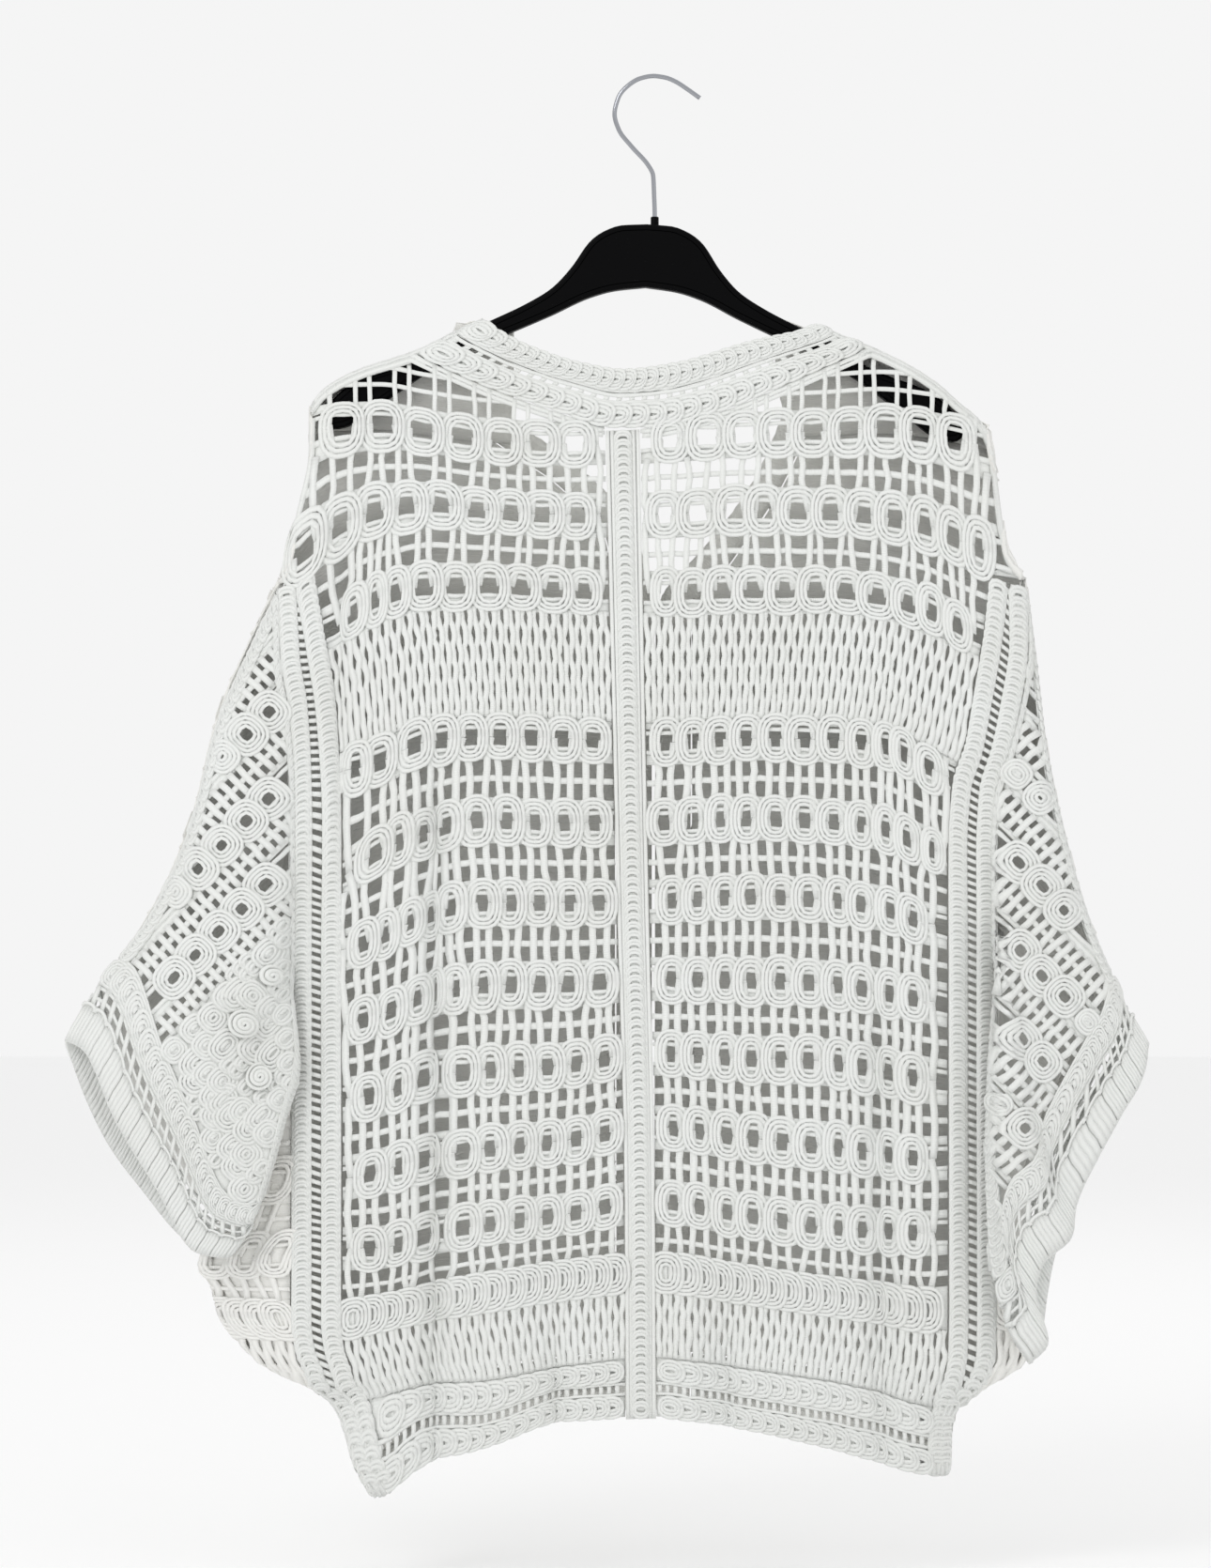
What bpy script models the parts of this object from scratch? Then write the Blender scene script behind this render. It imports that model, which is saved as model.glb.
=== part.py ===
# A macrame cardigan on a hanger, seen from its back, which faces -Y.
# The origin is the inner crown of the hanger's hook. Tables are in millimetres, placed in metres.
import math

import bmesh
import bpy
import numpy as np

MM = 0.001
WALL = 2.0  # the corded cloth
RIDGE = 1.0  # how far the rows of rings stand out of the net
BAND_WALL = 3.0  # the closely corded bands
SEAM = 0.5  # the gap between pieces that are sewn together
ROW_SEAM = 0.8  # and where one ends along a row
STEP = 0.05  # for the slopes of a surface
CREASE = 0.15  # half the gap where back and front meet in a fold

# Heights down the centre back, measured before the rows droop
RING_ROWS = (-237.0, -283.0, -331.0, -427.0, -478.0, -528.0, -577.5, -625.0, -672.0, -719.0)
WINDOW_HALF_HEIGHT = 4.6
WINDOWS_ACROSS = 9  # in each half of the back
WINDOW_SHARE = 0.43  # of the pitch of the rings
FRONT_WINDOW_ROWS = RING_ROWS[3:8]
FRONT_WINDOWS_ACROSS = 5
HEM_TOP = -818.0
HEM_BOTTOM = -857.0
FRONT_TOP = -245.0
FRONT_RISE = 4  # lines between the shoulder and FRONT_TOP
WRAP = (1.0, 0.66, 0.25, 0.0)  # columns of a front that lie on the back's side of the fold
ARMHOLE_STEP = 2.4  # between the first columns of a front beside the sleeve
SLEEVE_HEAD = -293.0
ARMHOLE_TOP = -294.0
UNDERARM = -549.0
NECK_POINTS = (-108.6, 104.4)

# The top of the cloth over the hanger. Between the neck points the line is only a guide for the roll.
SHOULDER = (  # x, z
    (-222, -216), (-217.8, -210), (-210.6, -201), (-189.6, -189), (-153.6, -177), (-108.6, -156),
    (-50, -140), (0, -136), (50, -142), (104.4, -160.2), (158.4, -183), (182.4, -198),
    (194.4, -209), (209.4, -222), (217.2, -238),
)
SHOULDER_ROLL = 7.0
NECK_EDGE = (  # x, z: top edge of the neck band
    (-108.6, -156), (-81.6, -171), (-45.6, -183), (-18.6, -187.2), (14.4, -183), (62.4, -169.2),
    (104.4, -160.2),
)
NECK_SEAM = (  # x, z: lower edge of the neck band
    (-153.6, -177.6), (-105.6, -199.2), (-57.6, -216), (-27.6, -225), (-3.6, -225), (38.4, -216),
    (80.4, -199.2), (110.4, -186), (137.4, -174.2),
)
# How far each row hangs from its height at the centre back
DROOP_X = (-290, -235, -205, -175, -145, -110, -60, 0, 60, 110, 145, 175, 205, 235)
DROOP = (  # row height, then the droop at each x
    (-857, -52, -52, -54, -52, -30, -20, -3, 0, -8, -19, -30, -38, -40, -40),
    (-840, -46, -46, -48, -44, -23, -20, -4, 0, -9, -18, -27, -36, -38, -38),
    (-814, -30, -30, -32, -24, -17, -14, -6, 0, -7, -14, -22, -30, -32, -32),
    (-762, -28, -30, -31, -26, -20, -13, -5, 0, -8, -15, -20, -24, -22, -22),
    (-719, -38, -34, -30, -30, -22, -15, -9, 0, -9, -16, -19, -20, -18, -18),
    (-672, -38, -35, -34, -28, -20, -14, -9, 0, -7, -12, -17, -20, -19, -19),
    (-625, -36, -33, -30, -26, -15, -11, -8, 0, -3, -5, -11, -17, -20, -20),
    (-577, -36, -33, -31, -23, -10, -4, -3, 0, -1, -3, -8, -14, -19, -19),
    (-528, -36, -33, -32, -23, -9, -1, -1, 0, 3, 1, -4, -14, -19, -19),
    (-478, -38, -36, -36, -18, -6, 2, 0, 0, 3, 1, -3, -16, -24, -24),
    (-427, -36, -30, -20, -12, 1, 4, 3, 0, 3, 2, -1, -15, -28, -31),
    (-331, -40, -35, -22, -3, 4, 5, 2, 0, 2, 2, -2, -11, -26, -38),
    (-283, -34, -29, -6, 5, 9, 5, 2, 2, 5, 4, 1, -5, -18, -28),
    (-237, 2, 6, 14, 15, 10, 5, 2, 4, 8, 10, 12, 9, 2, -5),
)
FRONT_DROOP = 0.8  # of the back's

# Where the cloth folds round from the back to the front, at each side
EDGE_LEFT = (  # row height, x
    (-858, -177), (-842, -189), (-826, -197), (-812, -210), (-806, -226), (-792, -255),
    (-768, -275), (-743, -284), (-724, -290), (-711, -284), (-669, -268), (-609, -248),
    (-575, -241), (-549, -238), (-500, -252), (-436, -268), (-362, -262), (-293, -238), (-268, -229),
    (-246, -220), (-200, -219),
)
EDGE_RIGHT = (  # row height, x
    (-857, 187), (-834, 188.5), (-820, 192), (-811, 208), (-802, 226), (-796, 238), (-780, 243),
    (-758, 242), (-702, 238), (-641, 234), (-582, 228), (-549, 225), (-500, 244), (-436, 264),
    (-362, 260), (-293, 236.5), (-283, 227.5), (-236, 217), (-215, 212), (-200, 208),
)
# The strips down the sides, from the sleeve head to the hem
BAND_LEFT = (  # row height, outer x, inner x
    (-857, -176.5, -166), (-842, -188.3, -175), (-826, -196, -181), (-812, -208.5, -187),
    (-806, -219, -190), (-797, -222, -192), (-785, -228, -196), (-765, -231, -198.6),
    (-549, -231, -198.6), (-450, -231, -198.8), (-420, -230.8, -201), (-376, -232.8, -204.6),
    (-334, -238, -210.6), (-293, -238, -219.6),
)
BAND_RIGHT = (  # row height, outer x, inner x
    (-857, 186.5, 177), (-834, 188, 178.5), (-820, 191.5, 181), (-811, 205, 183),
    (-802, 213, 185), (-790, 218, 187), (-760, 218.4, 187.8), (-549, 218.4, 187.8),
    (-470, 218.4, 188), (-430, 220, 190.8), (-402, 227.4, 199), (-374, 233.4, 203.5),
    (-330, 239, 211), (-293, 236.5, 217),
)
CENTRE_BAND = (  # row height, middle x, half width
    (-857, -8, 9.5), (-700, -9, 9.5), (-528, -13.2, 10), (-225, -19.8, 11),
)
# How far the back and the fronts stand from the plane of the hanger
DEPTH = (  # row height, back, front, roll at the sides
    (-857, 36, 17, 70), (-720, 31, 16, 70), (-600, 26, 15, 70), (-549, 25, 14, 60),
    (-478, 22, 14, 50), (-331, 16, 12, 30), (-260, 11, 10, 14), (-200, 9, 9, 14),
    (-140, 9, 9, 14),
)
# Soft upright folds of the back
FOLDS = (  # x, half width, how far it sinks in, upper end, lower end
    (-200, 7, 5, -262, -440),
    (-139, 9, 11, -420, -857),
    (-62, 8, 8, -770, -857),
    (22, 10, -5, -740, -857),
    (48, 9, 7, -760, -857),
    (146, 10, 9, -560, -857),
    (-96, 16, -5, -600, -857),
    (98, 18, -4, -560, -857),
)
FRONT_FOLDS = (  # x, half width, how far it sinks in, upper end, lower end
    (-160, 14, -4, -420, -857),
    (-80, 14, -4, -520, -857),
    (90, 14, -4, -520, -857),
    (165, 14, -4, -420, -857),
)
# The open edges of the fronts, from the neck points to the hem
OPENING_LEFT = (  # z, x
    (-156, -108.6), (-185, -112), (-215, -95), (-245, -52), (-290, -13), (-345, -6), (-870, -6),
)
OPENING_RIGHT = (  # z, x
    (-160.2, 104.4), (-204, 88), (-252, 68), (-300, 36), (-345, 7), (-870, 6),
)
FRONT_BAND_WIDTH = 18.0

# Sleeves: the upper and lower folds, then the cuff edge of the back and front layers
LEFT_FOLDS = (  # along, upper x, z, y, lower x, z, y
    (0.00, -238.4, -324, 0, -233.8, -581, -6),
    (0.04, -243, -335, 0, -234, -580, -17),
    (0.08, -249, -347, -1, -234, -585, -23),
    (0.12, -254, -358, -2, -233, -598, -26),
    (0.30, -277, -411, -5, -228.5, -634, -33),
    (0.50, -294, -477, -10, -237, -665, -38),
    (0.70, -320, -536, -15, -245, -695, -44),
    (0.90, -360, -590, -19, -256, -728, -47),
    (1.00, -375.6, -618, -20, -264, -741, -48),
)
LEFT_CUFF = (  # across, back layer x, z, y, front layer x, z, y
    (0.00, -375.6, -618, -20, -375.6, -618, -20),
    (0.08, -364, -622, -34, -372.6, -631, -13),
    (0.30, -341, -668, -50, -352, -680, -12),
    (0.55, -315, -710, -55, -328, -713, -14),
    (0.80, -290, -750, -58, -297, -746, -26),
    (0.92, -273, -753, -55, -277, -754, -38),
    (1.00, -264, -741, -48, -264, -741, -48),
)
RIGHT_FOLDS = (  # along, upper x, z, y, lower x, z, y
    (0.00, 236.9, -324, 0, 221.2, -567, -6),
    (0.04, 238.5, -338, 0, 221.4, -567, -17),
    (0.08, 240, -352, -1, 221.4, -571, -23),
    (0.12, 242, -367, -2, 220.5, -584, -26),
    (0.30, 248, -420, -6, 216, -640, -34),
    (0.50, 260, -480, -10, 214, -690, -41),
    (0.70, 279, -545, -14, 215, -740, -47),
    (0.90, 303, -597, -18, 224, -795, -44),
    (1.00, 315.6, -619, -20, 240, -823, -38),
)
RIGHT_CUFF = (  # across, back layer x, z, y, front layer x, z, y
    (0.00, 315.6, -619, -20, 315.6, -619, -20),
    (0.12, 312, -640, -30, 308, -640, -13),
    (0.30, 297, -667, -30, 292, -675, -13),
    (0.48, 268, -724, -36, 272, -715, -15),
    (0.58, 264, -742, -50, 264, -735, -20),
    (0.70, 247, -757, -56, 256, -757, -25),
    (0.80, 243, -775, -54, 252, -775, -29),
    (0.92, 252, -808, -48, 247, -805, -33),
    (1.00, 240, -823, -38, 240, -823, -38),
)
CUFF_START = 0.87  # of the way along the sleeve
SLEEVE_ALONG = (0, 4, 8, 13, 24, 28, 42, 46, 60, 64, 78)  # percent of the length, before the cuff
SLEEVE_WINDOWS = ((2, 4), (2, 6), (5, 4), (5, 6), (5, 8), (7, 6), (7, 8))  # line, column

KNOBS = (  # x, z, radius, foot above the inside of the sleeve
    (-245.4, -574.8, 6.5, 1.8),
    (-261.6, -605.4, 9.0, 2.4),
    (-251.4, -639.6, 8.6, 3.5),
)
KNOB_HEIGHT = 7.0

# The hanger, from its middle outwards, before it tilts
HANGER_MIDDLE = -5.0
HANGER_TILT = math.radians(1.2)
HANGER_THICK = 14.0
HANGER_EDGE = 3.4
HANGER_TOP = (  # distance from the middle, z
    (0, -94), (16, -95), (26, -98.4), (35.4, -105), (48, -123), (60, -136.2), (76, -146.5),
    (105, -161), (148, -184.5), (185, -198.5), (199, -210.5), (206, -219),
)
HANGER_UNDERSIDE = (  # distance from the middle, z
    (206, -226), (200, -229.5), (194, -229), (167, -212), (140, -193), (105, -173),
    (90, -167), (60, -153.6), (35.4, -141.6), (19, -136.8), (0, -134.4),
)
BOSS_RADIUS = 2.6
BOSS_TOP = -88.8
WIRE_RADIUS = 1.5
HOOK_ROUTE = (  # x, z from the boss round the crown to the tip
    (1.0, -88.5), (0.6, -75), (0, -62.4), (-3, -56), (-14, -43.5), (-22, -33), (-24.8, -23),
    (-22.2, -12), (-15.6, -4.2), (-7.8, 0.2), (0, 1.6), (7.8, 0.6), (14.4, -2), (21.6, -6.6),
    (30, -12.6),
)


def column(table, number):
    return np.array([row[number] for row in table], float)


def smooth_at(knots, values, at):
    """The smooth curve through values at the knots, which never swings past them."""
    if knots[0] > knots[-1]:
        knots, values = knots[::-1], values[::-1]
    at = np.clip(at, knots[0], knots[-1])
    gaps = np.diff(knots)
    slopes = (np.diff(values, axis=0).T / gaps).T
    same = slopes[1:] * slopes[:-1] > 0
    mean = np.where(same, 2 * slopes[1:] * slopes[:-1] / np.where(same, slopes[1:] + slopes[:-1], 1), 0)
    tangents = np.concatenate([slopes[:1], mean, slopes[-1:]])
    place = np.clip(np.searchsorted(knots, at) - 1, 0, len(knots) - 2)
    gap = gaps[place]
    share = (at - knots[place]) / gap
    if values.ndim == 1:
        start, end, leave, arrive = values[place], values[place + 1], tangents[place], tangents[place + 1]
    else:
        own = np.arange(len(at))
        start, end = values[place, own], values[place + 1, own]
        leave, arrive = tangents[place, own], tangents[place + 1, own]
    ease = share * share * (3 - 2 * share)
    return (
        start * (1 - ease)
        + end * ease
        + gap * leave * share * (1 - share) ** 2
        - gap * arrive * share * share * (1 - share)
    )


def along(table, number, at):
    return smooth_at(column(table, 0), column(table, number), np.asarray(at, float))


def droop(x, height):
    """How far a row hangs from its height at the centre back."""
    x, height = np.broadcast_arrays(np.asarray(x, float), np.asarray(height, float))
    rows = [smooth_at(np.array(DROOP_X, float), np.array(row[1:], float), x.ravel()) for row in DROOP]
    return smooth_at(column(DROOP, 0), np.array(rows), height.ravel()).reshape(x.shape)


def roll(distance, width):
    """From 0 at a fold to 1 where the cloth has turned to lie flat."""
    rest = 1 - np.clip(distance / width, 0, 1)
    return np.sqrt(1 - rest * rest)


def fold_depth(folds, x, height):
    depth = 0
    for middle, half_width, sink, upper, lower in folds:
        across = np.exp(-(((x - middle) / half_width) ** 2))
        fade = 60.0
        down = np.clip((upper - height) / fade, 0, 1) * np.clip((height - lower) / fade + 1, 0, 1)
        depth = depth + sink * across * down
    return depth


def body_cloth(x, height, front):
    """A point of the back, or of the fronts, at x on the row with this height."""
    x, height = np.broadcast_arrays(np.asarray(x, float), np.asarray(height, float))
    z = height + droop(x, height) * (FRONT_DROOP if front else 1)
    inward = np.minimum(x - along(EDGE_LEFT, 1, height), along(EDGE_RIGHT, 1, height) - x)
    side = roll(inward, along(DEPTH, 3, height))
    top = roll(along(SHOULDER, 1, x) - z, SHOULDER_ROLL)
    if front:
        out = along(DEPTH, 2, height) - fold_depth(FRONT_FOLDS, x, height)
        y = np.maximum(out * side * top, CREASE)
    else:
        out = along(DEPTH, 1, height) - fold_depth(FOLDS, x, height)
        y = -np.maximum(out * side * top, CREASE)
    return np.stack([x, y, z], axis=-1)


def back_cloth(x, height):
    return body_cloth(x, height, False)


def front_cloth(x, height):
    return body_cloth(x, height, True)


def height_at(x, z, front=False):
    """The row height of a place near the neck, given by its x and z."""
    share = FRONT_DROOP if front else 1
    height = np.asarray(z, float)
    for _ in range(8):
        height = z - droop(x, height) * share
    return height


def sleeve_cloth(side, front, s, v):
    """A point s along the sleeve and v down it, from its upper to its lower fold."""
    s, v = np.broadcast_arrays(np.asarray(s, float), np.asarray(v, float))
    folds, cuff, band = (
        (LEFT_FOLDS, LEFT_CUFF, BAND_LEFT) if side < 0 else (RIGHT_FOLDS, RIGHT_CUFF, BAND_RIGHT)
    )

    def between(at, down):
        upper = np.stack([along(folds, 1, at), along(folds, 3, at), along(folds, 2, at)], axis=-1)
        lower = np.stack([along(folds, 4, at), along(folds, 6, at), along(folds, 5, at)], axis=-1)
        share = np.stack([down, down ** 2, down], axis=-1)
        return upper * (1 - share) + lower * share

    def eased(at):
        at = np.clip(at, 0, 1)
        return at * at * (3 - 2 * at)

    height = ARMHOLE_TOP + (UNDERARM - ARMHOLE_TOP) * v
    # Down at the underarm the sleeve turns forward, past the edge of the strip.
    clear = SEAM + (3.4 if front else 2.4) * v**6
    armhole = body_cloth(along(band, 1, height) + side * clear, height, front)
    first = 4 if front else 1
    edge = np.stack([along(cuff, first + k, v) for k in (0, 2, 1)], axis=-1)
    near_cuff = eased(s)
    near_body = 1 - eased(s * (1 + 14 * v**8))
    start = armhole - between(np.zeros_like(v), v)
    end = edge - between(np.ones_like(v), v)
    bulge = eased(s / 0.5) * (1 - 0.8 * s) * roll(np.minimum(v, 1 - v), 0.5) * (6 if front else -14)
    point = between(s, v) + start * near_body[..., None] + end * near_cuff[..., None]
    level = height_at(point[..., 0], point[..., 2])
    edges = (along(EDGE_LEFT, 1, level), along(EDGE_RIGHT, 1, level))
    outside = np.maximum(edges[0] - point[..., 0], point[..., 0] - edges[1])
    limit = back_cloth(point[..., 0], level)[..., 1] - BAND_WALL - WALL - 1.2
    limit += 0.2 * np.maximum(outside, 0) - (3 if side < 0 else 7) * np.exp(-np.abs(outside) / 9)
    limit += 1.5 * np.maximum(level - UNDERARM - 10, 0) + 40 * np.clip(1 - s / 0.03, 0, 1)
    limit -= 0 if front else 2.5
    y = point[..., 1] + bulge
    point[..., 1] = (y + limit - np.sqrt((y - limit) ** 2 + 1)) / 2 + (CREASE if front else -CREASE)
    point[..., 0] += side * v**6 * (1.0 if front else -1.6)
    return point


def material_for(name, colour, roughness, metallic):
    material = bpy.data.materials.new(name)
    material.use_nodes = True
    finish = material.node_tree.nodes["Principled BSDF"]
    finish.inputs["Base Color"].default_value = (*colour, 1)
    finish.inputs["Roughness"].default_value = roughness
    finish.inputs["Metallic"].default_value = metallic
    return material


def cotton(name):
    return material_for(name + "_cotton", (0.76, 0.79, 0.76), 0.85, 0.0)


def place_object(name, mesh, material):
    shape = bpy.data.meshes.new(name)
    mesh.to_mesh(shape)
    mesh.free()
    shape.materials.append(material)
    made = bpy.data.objects.new(name, shape)
    bpy.context.scene.collection.objects.link(made)
    return made


def normals_of(surface, first, second, out):
    """Unit normals of surface(first, second), on the side that out gives along Y."""
    across = surface(first + STEP, second) - surface(first - STEP, second)
    down = surface(first, second + STEP) - surface(first, second - STEP)
    normal = np.cross(across, down)
    normal *= np.sign(normal[..., 1].sum()) * out
    normal /= np.maximum(np.linalg.norm(normal, axis=-1, keepdims=True), 1e-9)
    normal[..., 1] = np.maximum(normal[..., 1] * out, 0.08) * out
    return normal / np.linalg.norm(normal, axis=-1, keepdims=True)


def wall(name, inner, normals, thickness, windows=()):
    """A closed wall on a grid of inner points, with a hole for each window given by line and column."""
    lines, columns = inner.shape[:2]
    outer = inner + normals * np.broadcast_to(thickness, inner.shape[:2])[..., None]
    mesh = bmesh.new()
    bmesh.ops.create_grid(mesh, x_segments=columns - 1, y_segments=lines - 1, size=1)
    number = mesh.verts.layers.int.new("number")
    for index, vertex in enumerate(mesh.verts):
        vertex[number] = index
        vertex.co = inner.reshape(-1, 3)[index] * MM
    mesh.faces.ensure_lookup_table()
    cut = [mesh.faces[line * (columns - 1) + across] for line, across in windows]
    bmesh.ops.delete(mesh, geom=cut, context="FACES")
    raised = bmesh.ops.extrude_face_region(mesh, geom=mesh.faces[:], use_keep_orig=True)
    for vertex in (item for item in raised["geom"] if isinstance(item, bmesh.types.BMVert)):
        vertex.co = outer.reshape(-1, 3)[vertex[number]] * MM
    bmesh.ops.recalc_face_normals(mesh, faces=mesh.faces[:])
    return place_object(name, mesh, cotton(name))


def closed_wall(name, inner, normals, thickness):
    """A tube of wall, whose columns run all the way round."""
    outer = inner + normals * thickness
    mesh = bmesh.new()
    bmesh.ops.create_grid(mesh, x_segments=inner.shape[1] - 1, y_segments=inner.shape[0] - 1, size=1)
    number = mesh.verts.layers.int.new("number")
    for index, vertex in enumerate(mesh.verts):
        vertex[number] = index
        vertex.co = inner.reshape(-1, 3)[index] * MM
    bmesh.ops.remove_doubles(mesh, verts=mesh.verts[:], dist=1e-7)
    raised = bmesh.ops.extrude_face_region(mesh, geom=mesh.faces[:], use_keep_orig=True)
    for vertex in (item for item in raised["geom"] if isinstance(item, bmesh.types.BMVert)):
        vertex.co = outer.reshape(-1, 3)[vertex[number]] * MM
    bmesh.ops.recalc_face_normals(mesh, faces=mesh.faces[:])
    return place_object(name, mesh, cotton(name))


def window_columns(count):
    """Shares of the width at the sides of each window."""
    return [(number + 0.5 + side * WINDOW_SHARE / 2) / count for number in range(count) for side in (-1, 1)]


def row_lines(rows):
    """The heights of the upper and lower sides of the windows in these rows."""
    return [height for row in rows for height in (row + WINDOW_HALF_HEIGHT, row - WINDOW_HALF_HEIGHT)]


BACK_LINES = sorted(
    row_lines(RING_ROWS)
    + [SLEEVE_HEAD + 0.6, SLEEVE_HEAD - 0.2, -378.0, UNDERARM - 1.5, -755.0, -785.0, -803.0,
       HEM_TOP + ROW_SEAM],
    reverse=True,
)
HEM_LINES = (HEM_TOP, -831.0, -844.0, HEM_BOTTOM)


def back_grid(side):
    """The x and row height of each point of half the back."""
    shares = [0.0] + window_columns(WINDOWS_ACROSS) + [1.0]
    fixed = np.array(BACK_LINES)
    lines = len(fixed) + 3
    height = np.zeros((lines, len(shares)))
    height[3:] = fixed[:, None]
    x = np.zeros_like(height)
    # The lines above the first row of rings follow the shoulder and the neck band.
    for _ in range(6):
        edge, band = (EDGE_LEFT, BAND_LEFT) if side < 0 else (EDGE_RIGHT, BAND_RIGHT)
        outer = np.where(
            height > SLEEVE_HEAD,
            along(edge, 1, np.maximum(height, SLEEVE_HEAD)),
            along(band, 2, height) - side * SEAM,
        )
        middle = along(CENTRE_BAND, 1, height) + side * (along(CENTRE_BAND, 2, height) + SEAM)
        left, right = (outer, middle) if side < 0 else (middle, outer)
        x = left + (right - left) * shares
        shoulder = along(SHOULDER, 1, x[0])
        seam = along(NECK_SEAM, 1, x[0]) - ROW_SEAM
        under_neck = (x[0] > NECK_SEAM[0][0]) & (x[0] < NECK_SEAM[-1][0])
        top = np.where(under_neck, seam, shoulder)
        for line, below in enumerate((0.0, 2.0, 6.5)):
            height[line] = height_at(x[line], top - below)
    return x, height


def back_half(name, side):
    x, height = back_grid(side)
    normals = normals_of(back_cloth, x, height, -1)
    raised = np.isin(height, row_lines(RING_ROWS))
    windows = [
        (3 + BACK_LINES.index(row + WINDOW_HALF_HEIGHT), 1 + 2 * number)
        for row in RING_ROWS
        for number in range(WINDOWS_ACROSS)
    ]
    return wall(name, back_cloth(x, height), normals, WALL + RIDGE * raised, windows)


def opening_lines(side):
    """The open edge of a front and the inner edge of its band, as z and x, top first."""
    table = OPENING_LEFT if side < 0 else OPENING_RIGHT
    z = np.linspace(table[0][0], HEM_BOTTOM - 30, 60)
    x = along(table, 1, z)
    way = np.stack([np.gradient(x), np.gradient(z)], axis=1)
    way /= np.linalg.norm(way, axis=1, keepdims=True)
    aside = np.stack([way[:, 1], -way[:, 0]], axis=1) * -side
    inner_x = x + aside[:, 0] * FRONT_BAND_WIDTH
    inner_z = z + aside[:, 1] * FRONT_BAND_WIDTH
    return z, x, inner_z, inner_x


FRONT_LINES = sorted(
    [FRONT_TOP, SLEEVE_HEAD + 0.6, SLEEVE_HEAD - 0.2, SLEEVE_HEAD - 2, UNDERARM + 0.5,
     RING_ROWS[8], RING_ROWS[9]]
    + [line for line in BACK_LINES if line < SLEEVE_HEAD - 5 and not RING_ROWS[9] - 5 < line < RING_ROWS[8] + 5],
    reverse=True,
)


def front_grid(side):
    """The x and row height of each point of a front, and which lie behind the side fold.

    From the underarm down a front wraps round the fold to the strip on the back.
    """
    edge, band = (EDGE_LEFT, BAND_LEFT) if side < 0 else (EDGE_RIGHT, BAND_RIGHT)
    shares = np.array([0.02] + window_columns(FRONT_WINDOWS_ACROSS) + [1.0])
    _, _, inner_z, inner_x = opening_lines(side)
    top_lines = 3 + FRONT_RISE - 1
    height = np.full((len(FRONT_LINES) + top_lines, len(WRAP) + len(shares)), -200.0)
    height[top_lines:] = np.array(FRONT_LINES)[:, None]
    x = np.zeros_like(height)
    end = np.full(len(height), side * 60.0)
    for _ in range(12):
        end_z = height[:, -1] + droop(end, height[:, -1]) * FRONT_DROOP
        end = np.interp(-end_z, -inner_z, inner_x) + side * SEAM
        level = height[:, 0]
        fold = along(edge, 1, level)
        outer = along(band, 1, level)
        wraps = level < UNDERARM
        start = np.where(level > SLEEVE_HEAD, fold, outer)
        for place, share in enumerate(WRAP):
            near = fold + (outer + side * SEAM - fold) * share
            x[:, place] = np.where(wraps, near, start - side * ARMHOLE_STEP * place)
        first = x[:, len(WRAP) - 1][:, None]
        x[:, len(WRAP) :] = first + (end[:, None] - first) * shares
        top = along(SHOULDER, 1, x[:3])
        for line, below in enumerate((0.0, 2.0, 6.5)):
            height[line] = height_at(x[line], top[line] - below, True)
        for line in range(3, top_lines):
            height[line] = height[2] + (FRONT_TOP - height[2]) * (line - 2) / FRONT_RISE
    behind = wraps[:, None] & (np.arange(x.shape[1]) < len(WRAP))
    return x, height, behind


def front_half(name, side):
    x, height, behind = front_grid(side)
    behind = behind[..., None]
    point = np.where(behind, back_cloth(x, height), front_cloth(x, height))
    normals = np.where(
        behind, normals_of(back_cloth, x, height, -1), normals_of(front_cloth, x, height, 1)
    )
    normals[behind[:, 0, 0], len(WRAP) - 1] = (side, 0, 0)
    raised = np.isin(height, row_lines(FRONT_WINDOW_ROWS))
    first_line = 3 + FRONT_RISE - 1
    windows = [
        (first_line + FRONT_LINES.index(row + WINDOW_HALF_HEIGHT), len(WRAP) + 1 + 2 * number)
        for row in FRONT_WINDOW_ROWS
        for number in range(FRONT_WINDOWS_ACROSS)
    ]
    return wall(name, point, normals, WALL + RIDGE * raised, windows)


def strip(name, surface, first_edge, second_edge, out, across=(0.0, 0.5, 1.0)):
    """A band between two edges, each a pair of arrays for the surface's two coordinates."""
    share = np.array(across)[None, :]
    first = first_edge[0][:, None] * (1 - share) + second_edge[0][:, None] * share
    second = first_edge[1][:, None] * (1 - share) + second_edge[1][:, None] * share
    return wall(name, surface(first, second), normals_of(surface, first, second, out), BAND_WALL)


def side_strip(name, side):
    band = BAND_LEFT if side < 0 else BAND_RIGHT
    height = [SLEEVE_HEAD - 2] + [line for line in BACK_LINES if HEM_TOP < line < SLEEVE_HEAD - 5]
    height = np.array(height + list(HEM_LINES))[:, None]
    x = along(band, 1, height) + (along(band, 2, height) - along(band, 1, height)) * np.array([0, 0.5, 1])
    height = np.broadcast_to(height, x.shape)
    normals = normals_of(back_cloth, x, height, -1)
    normals[:, 0, 0] = 0
    normals /= np.linalg.norm(normals, axis=-1, keepdims=True)
    return wall(name, back_cloth(x, height), normals, BAND_WALL)


def centre_strip():
    height = np.array([-228.0] + [line for line in BACK_LINES if HEM_TOP < line < -235] + list(HEM_LINES))
    middle, half = along(CENTRE_BAND, 1, height), along(CENTRE_BAND, 2, height)
    seam = along(NECK_SEAM, 1, middle[:1]) - 2 * ROW_SEAM
    height[0] = height_at(middle[:1], seam)[0]
    sides = (middle - half, height), (middle + half, height)
    return strip("centre_back_band", back_cloth, *sides, -1, (0.0, 1.0))


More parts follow.
